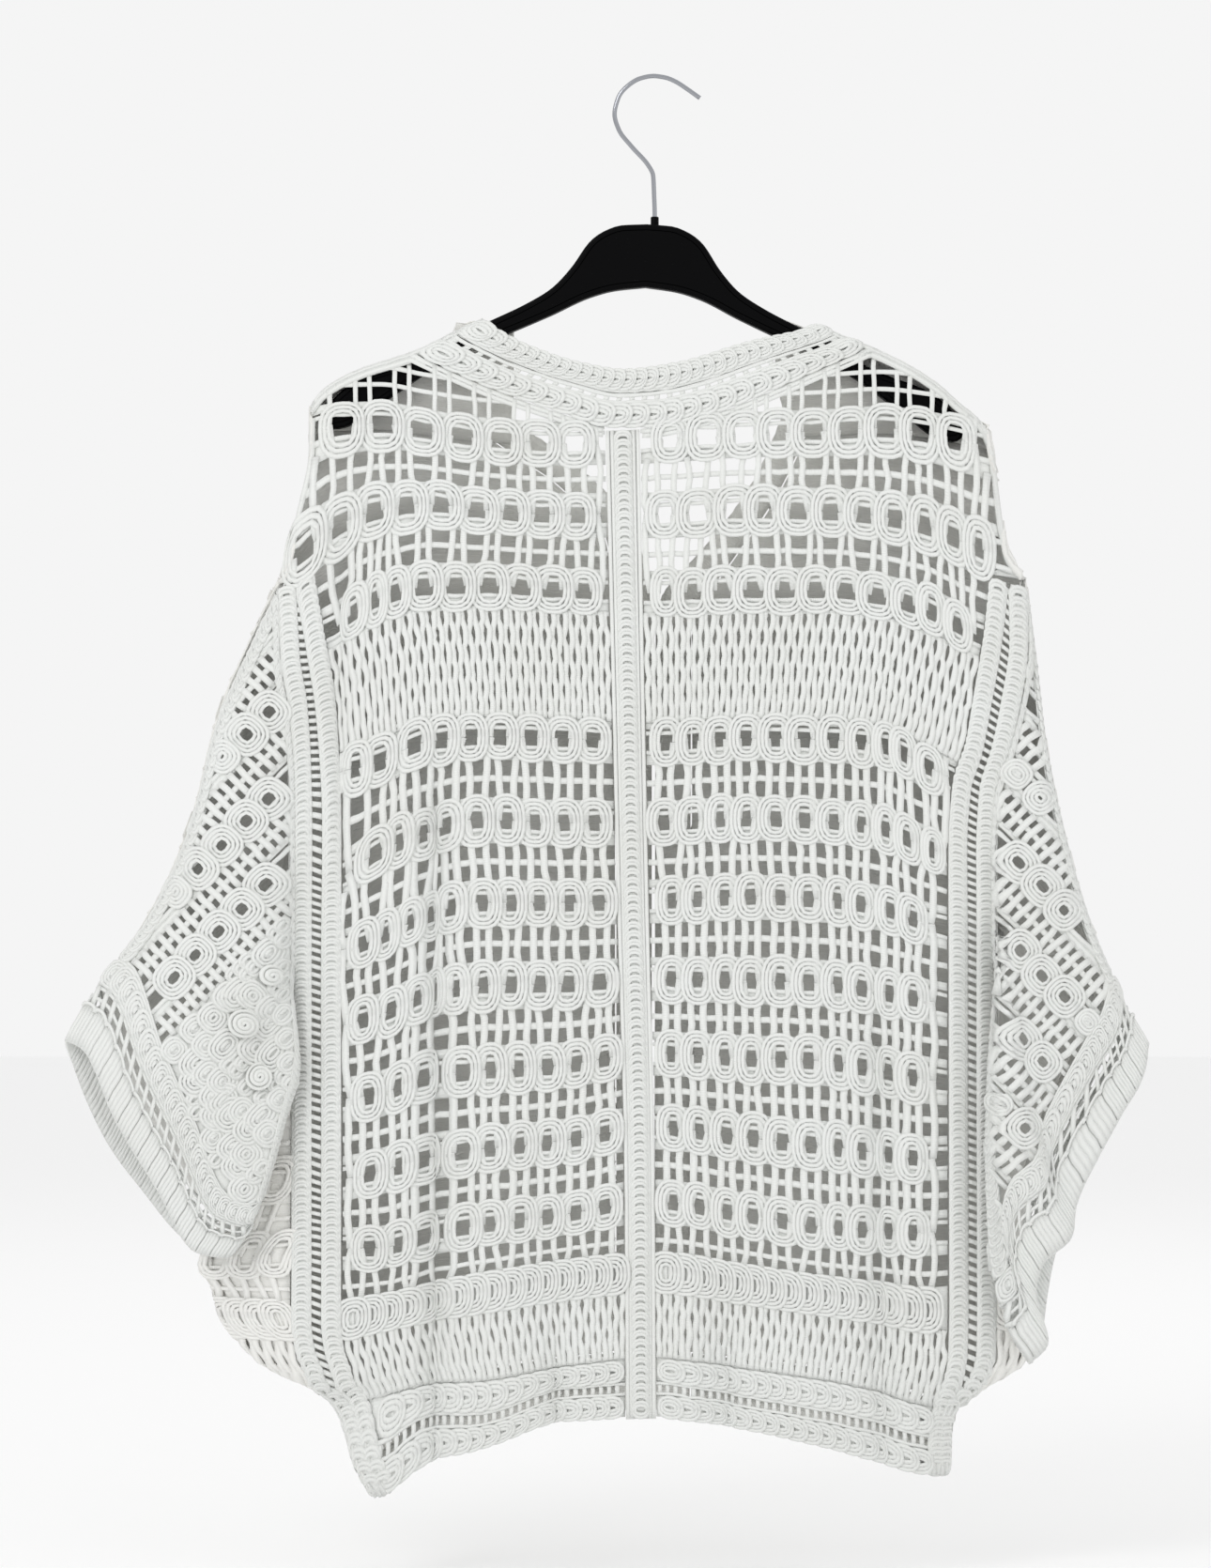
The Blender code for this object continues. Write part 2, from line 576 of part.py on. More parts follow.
def neck_strip():
    lower = np.concatenate([[NECK_SEAM[0][0]], back_grid(-1)[0][0], back_grid(1)[0][0], [NECK_SEAM[-1][0]]])
    lower = np.unique(lower[(lower >= NECK_SEAM[0][0]) & (lower <= NECK_SEAM[-1][0])])
    upper = np.interp(lower, [NECK_SEAM[0][0], NECK_SEAM[-1][0]], [NECK_EDGE[0][0], NECK_EDGE[-1][0]])

    def surface(x, z):
        return back_cloth(x, height_at(x, z))

    edge = along(NECK_EDGE, 1, upper)
    seam = along(NECK_SEAM, 1, lower)
    return strip("neck_band_back", surface, (upper, edge), (lower, seam), -1)


def front_strip(name, side):
    """The band of a front's open edge, whose lines carry on those of the front."""
    grid_x, grid_height, _ = front_grid(side)
    z, x, inner_z, inner_x = opening_lines(side)
    height = np.concatenate([grid_height[:, -1], HEM_LINES])
    inner = np.concatenate([grid_x[:, -1] - side * SEAM, np.full(len(HEM_LINES), inner_x[-1])])
    down = height + droop(inner, height) * FRONT_DROOP
    edge_z = np.interp(-down, -inner_z, z)
    for line, below in enumerate((0.0, 2.0, 6.5)):
        edge_z[line] = z[0] - below
    edge = np.interp(-edge_z, -z, x)
    edge_height = height_at(edge, edge_z, True)
    edge_height[3:] = np.where(height[3:] < -345, height[3:], edge_height[3:])
    return strip(name, front_cloth, (edge, edge_height), (inner, height), 1, (0.0, 1.0))


def hem_half(name, side, front):
    """The hem band of half the back, or of a front."""
    height = np.array(HEM_LINES)[:, None]
    if front:
        edge = EDGE_LEFT if side < 0 else EDGE_RIGHT
        start = along(edge, 1, height)
        end = side * (abs(OPENING_LEFT[-1][1]) + FRONT_BAND_WIDTH + SEAM) * np.ones_like(height)
        share = np.array([0.02] + window_columns(FRONT_WINDOWS_ACROSS) + [1.0])
        surface, out = front_cloth, 1
    else:
        band = BAND_LEFT if side < 0 else BAND_RIGHT
        start = along(band, 2, height) - side * SEAM
        end = along(CENTRE_BAND, 1, height) + side * (along(CENTRE_BAND, 2, height) + SEAM)
        share = np.array([0.0] + window_columns(WINDOWS_ACROSS) + [1.0])
        surface, out = back_cloth, -1
    x = start + (end - start) * share
    height = np.broadcast_to(height, x.shape)
    return wall(name, surface(x, height), normals_of(surface, x, height, out), BAND_WALL)


SLEEVE_DOWN = [0.0, 100 / (ARMHOLE_TOP - UNDERARM)] + [
    (ARMHOLE_TOP - line) / (ARMHOLE_TOP - UNDERARM) * 100
    for line in BACK_LINES
    if UNDERARM + 8 < line < SLEEVE_HEAD - 5
] + [97.5, 100.0]


def sleeve_grid(side, front, s):
    """Points and normals of a sleeve's layer at these percents of its length."""
    def surface(at, down):
        return sleeve_cloth(side, front, at / 100, down / 100)

    s, v = np.broadcast_arrays(np.array(s, float)[None, :], np.array(SLEEVE_DOWN)[:, None])
    normals = normals_of(surface, np.minimum(s, 99.9), np.clip(v, 0.4, 99.6), 1 if front else -1)
    # Past the turn at the underarm the sheet is nearly edge on, so its wall is kept to one side.
    edge_on = (s > 10) & (s < 60) & (v > 85)
    apart = 0.35 * np.abs(normals[..., 0]) * (side if front else -side)
    normals[..., 0] = np.where(edge_on, apart, normals[..., 0])
    return surface(s, v), normals / np.linalg.norm(normals, axis=-1, keepdims=True)


def sleeve_half(name, side, front):
    point, normals = sleeve_grid(side, front, SLEEVE_ALONG + (100 * CUFF_START - 1,))
    normals[:, -1] = sleeve_grid(side, front, (100 * CUFF_START,))[1][:, 0]
    band = BAND_LEFT if side < 0 else BAND_RIGHT
    height = ARMHOLE_TOP + (UNDERARM - ARMHOLE_TOP) * np.array(SLEEVE_DOWN) / 100
    body = front_cloth if front else back_cloth
    normals[:, 0] = normals_of(body, along(band, 1, height) + side * SEAM, height, 1 if front else -1)
    return wall(name, point, normals, WALL, SLEEVE_WINDOWS)


def cuff(name, side):
    """The back layer of the cuff, then round the lower fold and back along the front layer."""
    points, directions = [], []
    for front in (False, True):
        point, normals = sleeve_grid(side, front, (100 * CUFF_START, 93.5, 100))
        order = slice(None, None, -1) if front else slice(None)
        points.append(point[order])
        directions.append(normals[order])
    inner = np.concatenate(points + [points[0][:1]])
    normals = np.concatenate(directions + [directions[0][:1]])
    return closed_wall(name, inner, normals, BAND_WALL)


def knob(name, x, z, radius, lift):
    """A cord coiled on itself and sewn down in a low dome."""
    def surface(at, down):
        return sleeve_cloth(-1, False, at / 100, down / 100)

    at, down = np.meshgrid(np.arange(1, 90, 0.5), np.arange(1, 99.5, 0.5))
    point = surface(at, down)
    nearest = np.argmin((point[..., 0] - x) ** 2 + (point[..., 2] - z) ** 2)
    at, down = at.reshape(-1, 1)[nearest : nearest + 1], down.reshape(-1, 1)[nearest : nearest + 1]
    normal = normals_of(surface, at, down, -1)[0, 0]
    foot = surface(at, down)[0, 0] + normal * lift
    mesh = bmesh.new()
    profile = [(0.0, 0.0), (0.86, 0.0), (1.0, 0.32), (0.9, 0.72), (0.56, 1.0), (0.28, 0.86), (0.0, 0.86)]
    ring = [mesh.verts.new((radius * out * MM, 0, KNOB_HEIGHT * up * MM)) for out, up in profile]
    edges = [mesh.edges.new(pair) for pair in zip(ring, ring[1:])]
    bmesh.ops.spin(
        mesh, geom=ring + edges, cent=(0, 0, 0), axis=(0, 0, 1), angle=2 * math.pi, steps=12,
        use_merge=True,
    )
    bmesh.ops.remove_doubles(mesh, verts=mesh.verts[:], dist=1e-6)
    bmesh.ops.recalc_face_normals(mesh, faces=mesh.faces[:])
    made = place_object(name, mesh, cotton(name))
    made.location = foot * MM
    made.rotation_mode = "QUATERNION"
    made.rotation_quaternion = aim(normal)
    return made


def aim(normal):
    """The turn that takes +Z to the normal."""
    z = np.array((0.0, 0.0, 1.0))
    axis = np.cross(z, normal)
    half = math.acos(max(-1.0, min(1.0, float(normal @ z)))) / 2
    axis = axis / max(np.linalg.norm(axis), 1e-9) * math.sin(half)
    return (math.cos(half), *axis)


def hanger_body():
    mesh = bmesh.new()
    right = list(HANGER_TOP) + list(HANGER_UNDERSIDE)
    left = [(-out, z) for out, z in reversed(right) if out > 0]
    turned = []
    for out, z in right + left:
        x = out * math.cos(HANGER_TILT) + (z + 134) * math.sin(HANGER_TILT)
        turned.append((HANGER_MIDDLE + x, z * math.cos(HANGER_TILT) - out * math.sin(HANGER_TILT)))
    outline = [mesh.verts.new((x * MM, -HANGER_THICK / 2 * MM, z * MM)) for x, z in turned]
    face = mesh.faces.new(outline)
    sides = bmesh.ops.extrude_face_region(mesh, geom=[face])
    for vertex in (item for item in sides["geom"] if isinstance(item, bmesh.types.BMVert)):
        vertex.co.y = HANGER_THICK / 2 * MM
    bmesh.ops.recalc_face_normals(mesh, faces=mesh.faces[:])
    made = place_object("hanger_body", mesh, material_for("black_plastic", (0.012, 0.012, 0.013), 0.38, 0.0))
    bevel = made.modifiers.new("rounded edges", "BEVEL")
    bevel.width = HANGER_EDGE * MM
    bevel.segments = 1
    bevel.limit_method = "ANGLE"
    bevel.angle_limit = math.radians(60)
    boss = bmesh.new()
    bmesh.ops.create_cone(
        boss, cap_ends=True, segments=16, radius1=BOSS_RADIUS * MM, radius2=BOSS_RADIUS * MM,
        depth=14 * MM,
    )
    shank = place_object("hanger_boss_guide", boss, made.data.materials[0])
    shank.location = (HOOK_ROUTE[0][0] * MM, 0, (BOSS_TOP - 7) * MM)
    shank.hide_render = True
    shank.display_type = "WIRE"
    union = made.modifiers.new("boss", "BOOLEAN")
    union.operation = "UNION"
    union.object = shank
    return made


def hanger_hook():
    route = np.array(HOOK_ROUTE)
    knots = np.concatenate([[0], np.cumsum(np.linalg.norm(np.diff(route, axis=0), axis=1))])
    at = np.linspace(0, knots[-1], 28)
    x, z = smooth_at(knots, route[:, 0], at), smooth_at(knots, route[:, 1], at)
    curve = bpy.data.curves.new("hanger_hook", "CURVE")
    curve.dimensions = "3D"
    curve.bevel_depth = WIRE_RADIUS * MM
    curve.bevel_resolution = 2
    curve.use_fill_caps = True
    spline = curve.splines.new("POLY")
    spline.points.add(len(at) - 1)
    for place, point in enumerate(spline.points):
        point.co = (x[place] * MM, 0, z[place] * MM, 1)
    curve.materials.append(material_for("chromed_wire", (0.78, 0.78, 0.79), 0.18, 1.0))
    made = bpy.data.objects.new("hanger_hook", curve)
    bpy.context.scene.collection.objects.link(made)
    return made


def main():
    for item in list(bpy.data.objects):
        bpy.data.objects.remove(item)
    back_half("back_left", -1)
    back_half("back_right", 1)
    centre_strip()
    neck_strip()
    for side, word in ((-1, "left"), (1, "right")):
        side_strip("side_band_" + word, side)
        front_half("front_" + word, side)
        front_strip("front_band_" + word, side)
        hem_half("hem_band_back_" + word, side, False)
        hem_half("hem_band_front_" + word, side, True)
        sleeve_half("sleeve_" + word + "_back", side, False)
        sleeve_half("sleeve_" + word + "_front", side, True)
        cuff("cuff_" + word, side)
    for number, (x, z, radius, lift) in enumerate(KNOBS, 1):
        knob(f"coil_knob_{number}", x, z, radius, lift)
    hanger_body()
    hanger_hook()


main()
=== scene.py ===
# A cardigan of knotted and looped cotton cord on its hanger, seen from the back, which faces -Y.
# Every cord of the lace is made flat, in millimetres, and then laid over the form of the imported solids.
import math

import bmesh
import bpy
import numpy as np
from mathutils import Matrix
from mathutils.kdtree import KDTree


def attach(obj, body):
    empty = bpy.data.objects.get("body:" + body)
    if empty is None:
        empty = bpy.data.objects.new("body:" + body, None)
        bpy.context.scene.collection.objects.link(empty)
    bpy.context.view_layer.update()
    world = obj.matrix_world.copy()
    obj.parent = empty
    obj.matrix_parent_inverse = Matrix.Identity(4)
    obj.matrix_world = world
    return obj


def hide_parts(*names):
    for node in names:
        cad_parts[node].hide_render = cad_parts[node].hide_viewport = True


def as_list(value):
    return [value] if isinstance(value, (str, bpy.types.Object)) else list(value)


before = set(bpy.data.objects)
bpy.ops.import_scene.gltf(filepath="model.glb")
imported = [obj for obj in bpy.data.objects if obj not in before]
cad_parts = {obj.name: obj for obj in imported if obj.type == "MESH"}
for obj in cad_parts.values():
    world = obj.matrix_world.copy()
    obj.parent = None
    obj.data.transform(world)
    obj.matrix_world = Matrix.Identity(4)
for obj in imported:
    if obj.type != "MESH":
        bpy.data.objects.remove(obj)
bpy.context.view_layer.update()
print("frame loaded:", len(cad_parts), "nodes")

mm = 0.001
rng = np.random.default_rng(7)
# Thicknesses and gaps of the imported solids
wall = 2.0
bandWall = 3.0
seam = 0.5
crease = 0.15  # half the gap where back and front meet in a fold

# Heights down the centre back, measured before the rows droop
ringRows = (-237.0, -283.0, -331.0, -427.0, -478.0, -528.0, -577.5, -625.0, -672.0, -719.0)
hemTop = -818.0
hemBottom = -857.0
sleeveHead = -293.0
armholeTop = -294.0
underarm = -549.0

# The top of the cloth over the hanger. Between the neck points the line is only a guide for the roll.
shoulder = (  # x, z
    (-222, -216), (-217.8, -210), (-210.6, -201), (-189.6, -189), (-153.6, -177), (-108.6, -156),
    (-50, -140), (0, -136), (50, -142), (104.4, -160.2), (158.4, -183), (182.4, -198),
    (194.4, -209), (209.4, -222), (217.2, -238),
)
shoulderDrop = 7.0  # how far down the roll over the hanger reaches
neckEdge = (  # x, z: top edge of the neck band
    (-108.6, -156), (-81.6, -171), (-45.6, -183), (-18.6, -187.2), (14.4, -183), (62.4, -169.2),
    (104.4, -160.2),
)
neckSeam = (  # x, z: lower edge of the neck band
    (-153.6, -177.6), (-105.6, -199.2), (-57.6, -216), (-27.6, -225), (-3.6, -225), (38.4, -216),
    (80.4, -199.2), (110.4, -186), (137.4, -174.2),
)
# How far each row hangs from its height at the centre back
droopX = (-290, -235, -205, -175, -145, -110, -60, 0, 60, 110, 145, 175, 205, 235)
droopRows = (  # row height, then the droop at each x
    (-857, -52, -52, -54, -52, -30, -20, -3, 0, -8, -19, -30, -38, -40, -40),
    (-840, -46, -46, -48, -44, -23, -20, -4, 0, -9, -18, -27, -36, -38, -38),
    (-814, -30, -30, -32, -24, -17, -14, -6, 0, -7, -14, -22, -30, -32, -32),
    (-762, -28, -30, -31, -26, -20, -13, -5, 0, -8, -15, -20, -24, -22, -22),
    (-719, -38, -34, -30, -30, -22, -15, -9, 0, -9, -16, -19, -20, -18, -18),
    (-672, -38, -35, -34, -28, -20, -14, -9, 0, -7, -12, -17, -20, -19, -19),
    (-625, -36, -33, -30, -26, -15, -11, -8, 0, -3, -5, -11, -17, -20, -20),
    (-577, -36, -33, -31, -23, -10, -4, -3, 0, -1, -3, -8, -14, -19, -19),
    (-528, -36, -33, -32, -23, -9, -1, -1, 0, 3, 1, -4, -14, -19, -19),
    (-478, -38, -36, -36, -18, -6, 2, 0, 0, 3, 1, -3, -16, -24, -24),
    (-427, -36, -30, -20, -12, 1, 4, 3, 0, 3, 2, -1, -15, -28, -31),
    (-331, -40, -35, -22, -3, 4, 5, 2, 0, 2, 2, -2, -11, -26, -38),
    (-283, -34, -29, -6, 5, 9, 5, 2, 2, 5, 4, 1, -5, -18, -28),
    (-237, 2, 6, 14, 15, 10, 5, 2, 4, 8, 10, 12, 9, 2, -5),
)
frontDroop = 0.8  # of the back's

# Where the cloth folds round from the back to the front, at each side
edgeLeft = (  # row height, x
    (-858, -177), (-842, -189), (-826, -197), (-812, -210), (-806, -226), (-792, -255),
    (-768, -275), (-743, -284), (-724, -290), (-711, -284), (-669, -268), (-609, -248),
    (-575, -241), (-549, -238), (-500, -252), (-436, -268), (-362, -262), (-293, -238), (-268, -229),
    (-246, -220), (-200, -219),
)
edgeRight = (  # row height, x
    (-857, 187), (-834, 188.5), (-820, 192), (-811, 208), (-802, 226), (-796, 238), (-780, 243),
    (-758, 242), (-702, 238), (-641, 234), (-582, 228), (-549, 225), (-500, 244), (-436, 264),
    (-362, 260), (-293, 236.5), (-283, 227.5), (-236, 217), (-215, 212), (-200, 208),
)
# The strips down the sides, from the sleeve head to the hem
bandLeft = (  # row height, outer x, inner x
    (-857, -176.5, -166), (-842, -188.3, -175), (-826, -196, -181), (-812, -208.5, -187),
    (-806, -219, -190), (-797, -222, -192), (-785, -228, -196), (-765, -231, -198.6),
    (-549, -231, -198.6), (-450, -231, -198.8), (-420, -230.8, -201), (-376, -232.8, -204.6),
    (-334, -238, -210.6), (-293, -238, -219.6),
)
bandRight = (  # row height, outer x, inner x
    (-857, 186.5, 177), (-834, 188, 178.5), (-820, 191.5, 181), (-811, 205, 183),
    (-802, 213, 185), (-790, 218, 187), (-760, 218.4, 187.8), (-549, 218.4, 187.8),
    (-470, 218.4, 188), (-430, 220, 190.8), (-402, 227.4, 199), (-374, 233.4, 203.5),
    (-330, 239, 211), (-293, 236.5, 217),
)
centreBand = (  # row height, middle x, half width
    (-857, -8, 9.5), (-700, -9, 9.5), (-528, -13.2, 10), (-225, -19.8, 11),
)
# How far the back and the fronts stand from the plane of the hanger
depth = (  # row height, back, front, roll at the sides
    (-857, 36, 17, 70), (-720, 31, 16, 70), (-600, 26, 15, 70), (-549, 25, 14, 60),
    (-478, 22, 14, 50), (-331, 16, 12, 30), (-260, 11, 10, 14), (-200, 9, 9, 14),
    (-140, 9, 9, 14),
)
# Soft upright folds of the back
folds = (  # x, half width, how far it sinks in, upper end, lower end
    (-200, 7, 5, -262, -440),
    (-139, 9, 11, -420, -857),
    (-62, 8, 8, -770, -857),
    (22, 10, -5, -740, -857),
    (48, 9, 7, -760, -857),
    (146, 10, 9, -560, -857),
    (-96, 16, -5, -600, -857),
    (98, 18, -4, -560, -857),
)
frontFolds = (  # x, half width, how far it sinks in, upper end, lower end
    (-160, 14, -4, -420, -857),
    (-80, 14, -4, -520, -857),
    (90, 14, -4, -520, -857),
    (165, 14, -4, -420, -857),
)
# The open edges of the fronts, from the neck points to the hem
openingLeft = (  # z, x
    (-156, -108.6), (-185, -112), (-215, -95), (-245, -52), (-290, -13), (-345, -6), (-870, -6),
)
openingRight = (  # z, x
    (-160.2, 104.4), (-204, 88), (-252, 68), (-300, 36), (-345, 7), (-870, 6),
)
frontBandWidth = 18.0

# Sleeves: the upper and lower folds, then the cuff edge of the back and front layers
leftFolds = (  # along, upper x, z, y, lower x, z, y
    (0.00, -238.4, -324, 0, -233.8, -581, -6),
    (0.04, -243, -335, 0, -234, -580, -17),
    (0.08, -249, -347, -1, -234, -585, -23),
    (0.12, -254, -358, -2, -233, -598, -26),
    (0.30, -277, -411, -5, -228.5, -634, -33),
    (0.50, -294, -477, -10, -237, -665, -38),
    (0.70, -320, -536, -15, -245, -695, -44),
    (0.90, -360, -590, -19, -256, -728, -47),
    (1.00, -375.6, -618, -20, -264, -741, -48),
)
leftCuff = (  # across, back layer x, z, y, front layer x, z, y
    (0.00, -375.6, -618, -20, -375.6, -618, -20),
    (0.08, -364, -622, -34, -372.6, -631, -13),
    (0.30, -341, -668, -50, -352, -680, -12),
    (0.55, -315, -710, -55, -328, -713, -14),
    (0.80, -290, -750, -58, -297, -746, -26),
    (0.92, -273, -753, -55, -277, -754, -38),
    (1.00, -264, -741, -48, -264, -741, -48),
)
rightFolds = (  # along, upper x, z, y, lower x, z, y
    (0.00, 236.9, -324, 0, 221.2, -567, -6),
    (0.04, 238.5, -338, 0, 221.4, -567, -17),
    (0.08, 240, -352, -1, 221.4, -571, -23),
    (0.12, 242, -367, -2, 220.5, -584, -26),
    (0.30, 248, -420, -6, 216, -640, -34),
    (0.50, 260, -480, -10, 214, -690, -41),
    (0.70, 279, -545, -14, 215, -740, -47),
    (0.90, 303, -597, -18, 224, -795, -44),
    (1.00, 315.6, -619, -20, 240, -823, -38),
)
rightCuff = (  # across, back layer x, z, y, front layer x, z, y
    (0.00, 315.6, -619, -20, 315.6, -619, -20),
    (0.12, 312, -640, -30, 308, -640, -13),
    (0.30, 297, -667, -30, 292, -675, -13),
    (0.48, 268, -724, -36, 272, -715, -15),
    (0.58, 264, -742, -50, 264, -735, -20),
    (0.70, 247, -757, -56, 256, -757, -25),
    (0.80, 243, -775, -54, 252, -775, -29),
    (0.92, 252, -808, -48, 247, -805, -33),
    (1.00, 240, -823, -38, 240, -823, -38),
)
# What the two sides of the garment have of their own, left and right as the back is seen
sideWords = {-1: "left", 1: "right"}
foldEdges = {-1: edgeLeft, 1: edgeRight}
sideBands = {-1: bandLeft, 1: bandRight}
openings = {-1: openingLeft, 1: openingRight}
sleeveTables = {-1: (leftFolds, leftCuff), 1: (rightFolds, rightCuff)}


def column(table, number):
    return np.array([row[number] for row in table], float)


def smoothAt(knots, values, at):
    # the smooth curve through values at the knots, which never swings past them
    if knots[0] > knots[-1]:
        knots, values = knots[::-1], values[::-1]
    at = np.clip(at, knots[0], knots[-1])
    gaps = np.diff(knots)
    slopes = (np.diff(values, axis=0).T / gaps).T
    same = slopes[1:] * slopes[:-1] > 0
    mean = np.where(same, 2 * slopes[1:] * slopes[:-1] / np.where(same, slopes[1:] + slopes[:-1], 1), 0)
    tangents = np.concatenate([slopes[:1], mean, slopes[-1:]])
    place = np.clip(np.searchsorted(knots, at) - 1, 0, len(knots) - 2)
    gap = gaps[place]
    share = (at - knots[place]) / gap
    # each place may have a column of values of its own
    own = () if values.ndim == 1 else (np.arange(len(at)),)
    (start, leave), (end, arrive) = (
        [rows[(knot, *own)] for rows in (values, tangents)] for knot in (place, place + 1)
    )
    ease = share * share * (3 - 2 * share)
    return (
        start * (1 - ease)
        + end * ease
        + gap * leave * share * (1 - share) ** 2
        - gap * arrive * share * share * (1 - share)
    )


def along(table, number, at):
    return smoothAt(column(table, 0), column(table, number), np.asarray(at, float))


def droop(x, height):
    # how far a row hangs from its height at the centre back
    x, height = np.broadcast_arrays(np.asarray(x, float), np.asarray(height, float))
    rows = [smoothAt(np.array(droopX, float), np.array(row[1:], float), x.ravel()) for row in droopRows]
    return smoothAt(column(droopRows, 0), np.array(rows), height.ravel()).reshape(x.shape)


def roll(distance, width):
    # a quarter round that rises from an edge over this width
    rest = 1 - np.clip(distance / width, 0, 1)
    return np.sqrt(1 - rest * rest)


def foldDepth(folds, x, height, fade=60.0):
    # how far the soft folds sink in; each fades out over this length at its ends
    depth = 0
    for middle, halfWidth, sink, upper, lower in folds:
        across = np.exp(-(((x - middle) / halfWidth) ** 2))
        down = np.clip((upper - height) / fade, 0, 1) * np.clip((height - lower) / fade + 1, 0, 1)
        depth = depth + sink * across * down
    return depth


def bodyCloth(x, height, front):
    # the inside of the back's or the front's wall
    x, height = np.broadcast_arrays(np.asarray(x, float), np.asarray(height, float))
    z = height + droop(x, height) * (frontDroop if front else 1)
    inward = np.minimum(x - along(edgeLeft, 1, height), along(edgeRight, 1, height) - x)
    side = roll(inward, along(depth, 3, height))
    top = roll(along(shoulder, 1, x) - z, shoulderDrop)
    number, ownFolds, way = (2, frontFolds, 1) if front else (1, folds, -1)
    out = along(depth, number, height) - foldDepth(ownFolds, x, height)
    return np.stack([x, way * np.maximum(out * side * top, crease), z], axis=-1)


def backCloth(x, height):
    return bodyCloth(x, height, False)


def frontCloth(x, height):
    return bodyCloth(x, height, True)


def heightAt(x, z, front=False):
    # the row height that has drooped to z at x
    share = frontDroop if front else 1
    height = np.asarray(z, float)
    for _ in range(8):
        height = z - droop(x, height) * share
    return height


# A sleeve's layers: how far each stands off the strip at the underarm, its swell, how much deeper it lies
# than it has to, and how far it is moved aside at the underarm
sleeveLayers = {"front": (3.4, 6, 0, 1.0), "back": (2.4, -14, 2.5, -1.6)}
sleeveRoom = {-1: 3, 1: 7}  # how far a sleeve sinks in beside the side fold


def eased(at):
    at = np.clip(at, 0, 1)
    return at * at * (3 - 2 * at)


def sleeveCloth(side, front, s, v):
    # s runs from the armhole to the cuff's edge, and v from the upper fold to the lower
    s, v = np.broadcast_arrays(np.asarray(s, float), np.asarray(v, float))
    table, cuff = sleeveTables[side]
    clear, swell, lower, aside = sleeveLayers["front" if front else "back"]

    def between(at, down):
        ends = [np.stack([along(table, first + k, at) for k in (0, 2, 1)], axis=-1) for first in (1, 4)]
        share = np.stack([down, down ** 2, down], axis=-1)
        return ends[0] * (1 - share) + ends[1] * share

    height = armholeTop + (underarm - armholeTop) * v
    # down at the underarm the sleeve turns forward, past the edge of the strip
    armhole = bodyCloth(along(sideBands[side], 1, height) + side * (seam + clear * v**6), height, front)
    first = 4 if front else 1
    edge = np.stack([along(cuff, first + k, v) for k in (0, 2, 1)], axis=-1)
    start = armhole - between(np.zeros_like(v), v)
    end = edge - between(np.ones_like(v), v)
    nearBody = 1 - eased(s * (1 + 14 * v**8))
    point = between(s, v) + start * nearBody[..., None] + end * eased(s)[..., None]
    # the sleeve lies under the back and its strip, and comes free of them outside the side fold
    level = heightAt(point[..., 0], point[..., 2])
    x = point[..., 0]
    outside = np.maximum(along(edgeLeft, 1, level) - x, x - along(edgeRight, 1, level))
    limit = backCloth(point[..., 0], level)[..., 1] - bandWall - wall - 1.2
    limit += 0.2 * np.maximum(outside, 0) - sleeveRoom[side] * np.exp(-np.abs(outside) / 9)
    limit += 1.5 * np.maximum(level - underarm - 10, 0) + 40 * np.clip(1 - s / 0.03, 0, 1)
    limit -= lower
    y = point[..., 1] + eased(s / 0.5) * (1 - 0.8 * s) * roll(np.minimum(v, 1 - v), 0.5) * swell
    point[..., 1] = (y + limit - np.sqrt((y - limit) ** 2 + 1)) / 2 + (crease if front else -crease)
    point[..., 0] += side * v**6 * aside
    return point


def openingLines(side):
    # the open edge of a front and the inner edge of its band, top first
    table = openings[side]
    z = np.linspace(table[0][0], hemBottom - 30, 60)
    x = along(table, 1, z)
    way = np.stack([np.gradient(x), np.gradient(z)], axis=1)
    way /= np.linalg.norm(way, axis=1, keepdims=True)
    aside = np.stack([way[:, 1], -way[:, 0]], axis=1) * -side
    innerX = x + aside[:, 0] * frontBandWidth
    innerZ = z + aside[:, 1] * frontBandWidth
    return z, x, innerZ, innerX


def linearOf(hexColour):
    channels = [int(hexColour[place:place + 2], 16) / 255 for place in (1, 3, 5)]
    return tuple(c / 12.92 if c <= 0.04045 else ((c + 0.055) / 1.055) ** 2.4 for c in channels) + (1.0,)


def addNode(material, kind, settings=None, links=None):
    # adds one node, sets its sockets and properties, and links its inputs
    node = material.node_tree.nodes.new(kind)
    for name, value in (settings or {}).items():
        if isinstance(name, int) or name in node.inputs:
            node.inputs[name].default_value = value
        else:
            setattr(node, name, value)
    for name, output in (links or {}).items():
        material.node_tree.links.new(output, node.inputs[name])
    return node


def newMaterial(name, colour, roughness, metallic=0.0):
    material = bpy.data.materials.new(name)
    material.use_nodes = True
    shader = material.node_tree.nodes["Principled BSDF"]
    shader.inputs["Base Color"].default_value = linearOf(colour)
    shader.inputs["Roughness"].default_value = roughness
    shader.inputs["Metallic"].default_value = metallic
    return material, shader


# Combed cotton cord, crocheted and tied: matt, with soft shade between its plies and faint yellowing in
# places. Sizes are in millimetres, and scales are per metre
cotton = {"roughness": 0.86, "patchScale": 17.0, "plyPitch": 1.4, "plyShare": 0.35, "fuzzScale": 900.0,
          "bump": 0.35, "bumpDepth": 0.4, "sheen": 0.12, "sheenRoughness": 0.5}


